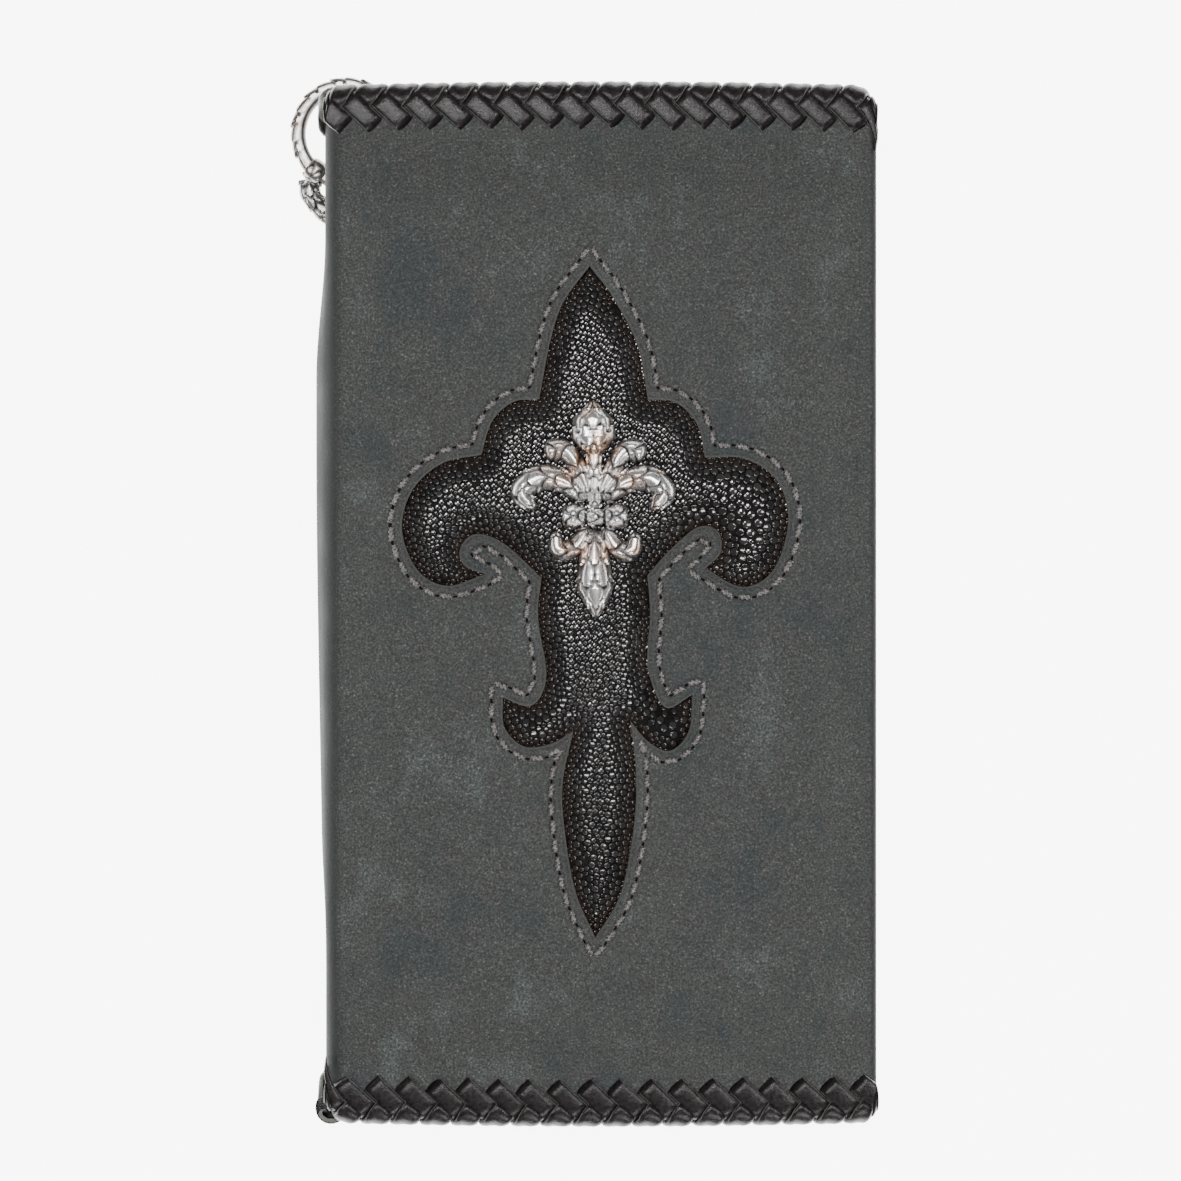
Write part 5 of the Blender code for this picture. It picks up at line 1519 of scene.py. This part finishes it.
x0, x1, y0, y1, z0, z1 = box_of("coin_pouch_front")
pouch_face = z1
ZIP_SLOT = rounded_box(ZIP_X - 4, ZIP_X + 4, -68.0, 68.0, 1.0)
ZIP_SEAM_OUT, ZIP_SEAM_END = 5.5, 70.0
panel("coin_pouch_front_leather", rounded_box(x0, x1, y0, y1, 3.0), z0, z1, calf, "back_half",
      "smooth_leather", "coin_pouch_front", holes=[ZIP_SLOT])
left, right = ZIP_X - ZIP_SEAM_OUT, ZIP_X + ZIP_SEAM_OUT
edge_rows = [
    ((x0 + SEAM_IN, y0 + 3), (x0 + SEAM_IN, y1 - 3)),
    ((x1 - SEAM_IN, y0 + 3), (x1 - SEAM_IN, y1 - 3)),
    ((x0 + 3, y0 + SEAM_IN), (x1 - 3, y0 + SEAM_IN)),
    ((x0 + 3, y1 - SEAM_IN), (x1 - 3, y1 - SEAM_IN)),
    ((left, -ZIP_SEAM_END), (left, ZIP_SEAM_END)),
    ((right, -ZIP_SEAM_END), (right, ZIP_SEAM_END)),
    ((left, -ZIP_SEAM_END), (right, -ZIP_SEAM_END)),
    ((left, ZIP_SEAM_END), (right, ZIP_SEAM_END)),
]
seam_row("coin_pouch_seams", edge_rows, lambda places: np.full(len(places), pouch_face), 1, "back_half")

cloth, cloth_tree, cloth_shader = finish_of("zip_weave", Specular_IOR_Level=0.2)
cloth_place = own_place(cloth_tree)
cloth_bands = {"Vector": cloth_place, "Scale": 480.0, "Distortion": 1.0}
cloth_rows = add(cloth_tree, "ShaderNodeTexWave", cloth_bands, bands_direction="Y")
cloth_ribs = add(cloth_tree, "ShaderNodeTexWave", cloth_bands, bands_direction="X")
cloth_weave = math_of(cloth_tree, "MULTIPLY", cloth_rows.outputs["Fac"], cloth_ribs.outputs["Fac"])
feed(cloth_tree, cloth_shader,
     Base_Color=ramp(cloth_tree, cloth_weave, [(0.1, grey(0.004)), (0.8, grey(0.02))]),
     Roughness=ramp(cloth_tree, cloth_weave, [(0.1, grey(0.95)), (0.8, grey(0.75))]))
bumped(cloth_tree, cloth_shader, cloth_weave, 0.8, 0.12)
for node in ("zip_tape_spine_side", "zip_tape_edge_side"):
    x0, x1, y0, y1, z0, z1 = box_of(node)
    panel(f"{node}_weave", rounded_box(x0, x1, y0, y1, 0.5), z0, z1, cloth, "back_half", "zip_cloth", node,
          crease=0, grid_step=2.0)

brass = metal_finish("zip_brass", (0.62, 0.5, 0.3), (0.45, 0.32, 0.17), (0.03, 0.022, 0.014), 0.24)
x0, x1, y0, y1, z0, z1 = box_of("zip_teeth")
TOOTH_PITCH = 1.3
TOOTH_PROFILE = [  # out from the middle of the zip, and along it
    (-1.0, -0.45),
    (0.15, -0.5),
    (0.45, -0.28),
    (0.45, 0.28),
    (0.15, 0.5),
    (-1.0, 0.45),
]
tooth_places = np.arange(y0 + 0.8, y1 - 0.7, TOOTH_PITCH)
tooth_sides = np.where(np.arange(len(tooth_places)) % 2 == 0, 1.0, -1.0)
tooth_rings = []
for height, share in ((z0, 0.8), (z0 + 0.2, 1.0), (z1 - 0.25, 1.0), (z1, 0.75)):
    outline = np.array(TOOTH_PROFILE) * share
    tooth_x = ZIP_X - tooth_sides[:, None] * outline[None, :, 0]
    tooth_y = tooth_places[:, None] + outline[None, :, 1] * tooth_sides[:, None]
    tooth_rings.append(np.stack([tooth_x, tooth_y, np.full_like(tooth_x, height)], -1))
tooth_points = np.stack(tooth_rings, 1)
tooth_faces = tube_faces(*tooth_points.shape[:3])
teeth = piece("zip_teeth_stamped", tooth_points.reshape(-1, 3), tooth_faces, brass, sharp=40)
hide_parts("zip_teeth")
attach(teeth, "back_half")

x0, x1, y0, y1, z0, z1 = box_of("zip_slider")
slider_line = [(ZIP_X, y0 + 0.1), (ZIP_X, (y0 + y1) / 2), (ZIP_X, y1 - 0.1)]
slider_body = lobe_mesh(slider_line, [2.4, 2.9, 3.5], z1 - z0, (1, 1), z0 + 0.15, 0.0)
bridge_line = [(ZIP_X, y0 + 1.6), (ZIP_X, y1 - 2.2)]
slider_bridge = lobe_mesh(bridge_line, [1.0, 1.2, 1.0], z1 - z0 + 0.5, (1, 1), z0 + 0.4, 0.0)
slider = carved_piece("zip_slider_cast", [slider_body, slider_bridge], brass)
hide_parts("zip_slider")
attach(slider, "slider")

x0, x1, y0, y1, z0, z1 = box_of("zip_pull")
pull_edge = rounded_box(x0, x1, y0, y1, 1.6, 8)
waist = 0.7 * np.sin(math.pi * np.clip((pull_edge[:, 1] - y0) / (y1 - y0), 0, 1)) ** 2
pull_edge[:, 0] -= np.sign(pull_edge[:, 0] - ZIP_X) * waist
stud = box_of("pull_stud")
STUD_HOLE = 1.25
stud_turn = full_turn(24)
stud_x = ZIP_X + STUD_HOLE * np.cos(stud_turn)
stud_y = (stud[2] + stud[3]) / 2 + STUD_HOLE * np.sin(stud_turn)
panel("zip_pull_tab", pull_edge, z0, z1, brass, "pull", "zip_metal", "zip_pull",
      holes=[np.column_stack([stud_x, stud_y])], crease=0.9, grid_step=1.2)


# ------------------------------------------------------------------ hidden layers and small fittings
# The foam that swells the inlay, the leather that backs it, and the fittings kept from the part as made:
# rivets, pins, posts, screws and stops. A leather patch lies under the bail's plate.
foam, foam_tree, foam_shader = finish_of("padding_foam", Roughness=0.9, Specular_IOR_Level=0.1)
foam_place = own_place(foam_tree)
foam_cells = cells(foam_tree, foam_place, 1800.0)
foam_colour = ramp(foam_tree, foam_cells, [(0.1, grey(0.03)), (0.7, (0.09, 0.085, 0.08))])
feed(foam_tree, foam_shader, Base_Color=foam_colour)
bumped(foam_tree, foam_shader, foam_cells, 0.6, 0.2)
x0, x1, y0, y1, z0, z1 = box_of("bail_plate")
patch_edge = rounded_box(x0 - 0.2, x1 + 0.9, y0 - 0.8, y1 + 0.6, 1.2)
panel("bail_patch_leather", patch_edge, z1, BACK_RIM + 0.15, calf, "back_half",
      "smooth_leather", crease=0, grid_step=1.5)
backing = grained("backing_split", (0.07, 0.045, 0.03), (0.13, 0.09, 0.062), 0.7, 0.9, 0.2, 0.5)

x0, x1, y0, y1, z0, z1 = box_of("inlay_backing")
backing_edge = evenly(np.vstack([SKIN_EDGE, SKIN_EDGE[:1]]), 1.5)[:-1]
panel("inlay_backing_split", backing_edge, z0, z1, backing, "front_half",
      "backing_leather", "inlay_backing", crease=0)
foam_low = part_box("inlay_padding")[0].z / MM
foam_grid = grid_of(np.arange(-42, 42, 1.6), np.arange(-68, 68, 1.6))
foam_plan, foam_triangles = plan_mesh(thinned(cut_edge, 0.9), foam_grid, clearance=0.5)
foam_top = np.maximum(skin_height(foam_plan) - SKIN - 0.05, foam_low + 0.05)
foam_points = two_faces(foam_plan, foam_top, np.full(len(foam_plan), foam_low))
foam_faces = shell_faces(len(foam_plan), foam_triangles)
padding = piece("inlay_padding_foam", foam_points, foam_faces, foam, sharp=60)
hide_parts("inlay_padding")
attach(padding, "front_half")

refinished(["zip_top_stop", "zip_bottom_stop", "pull_stud"], brass)
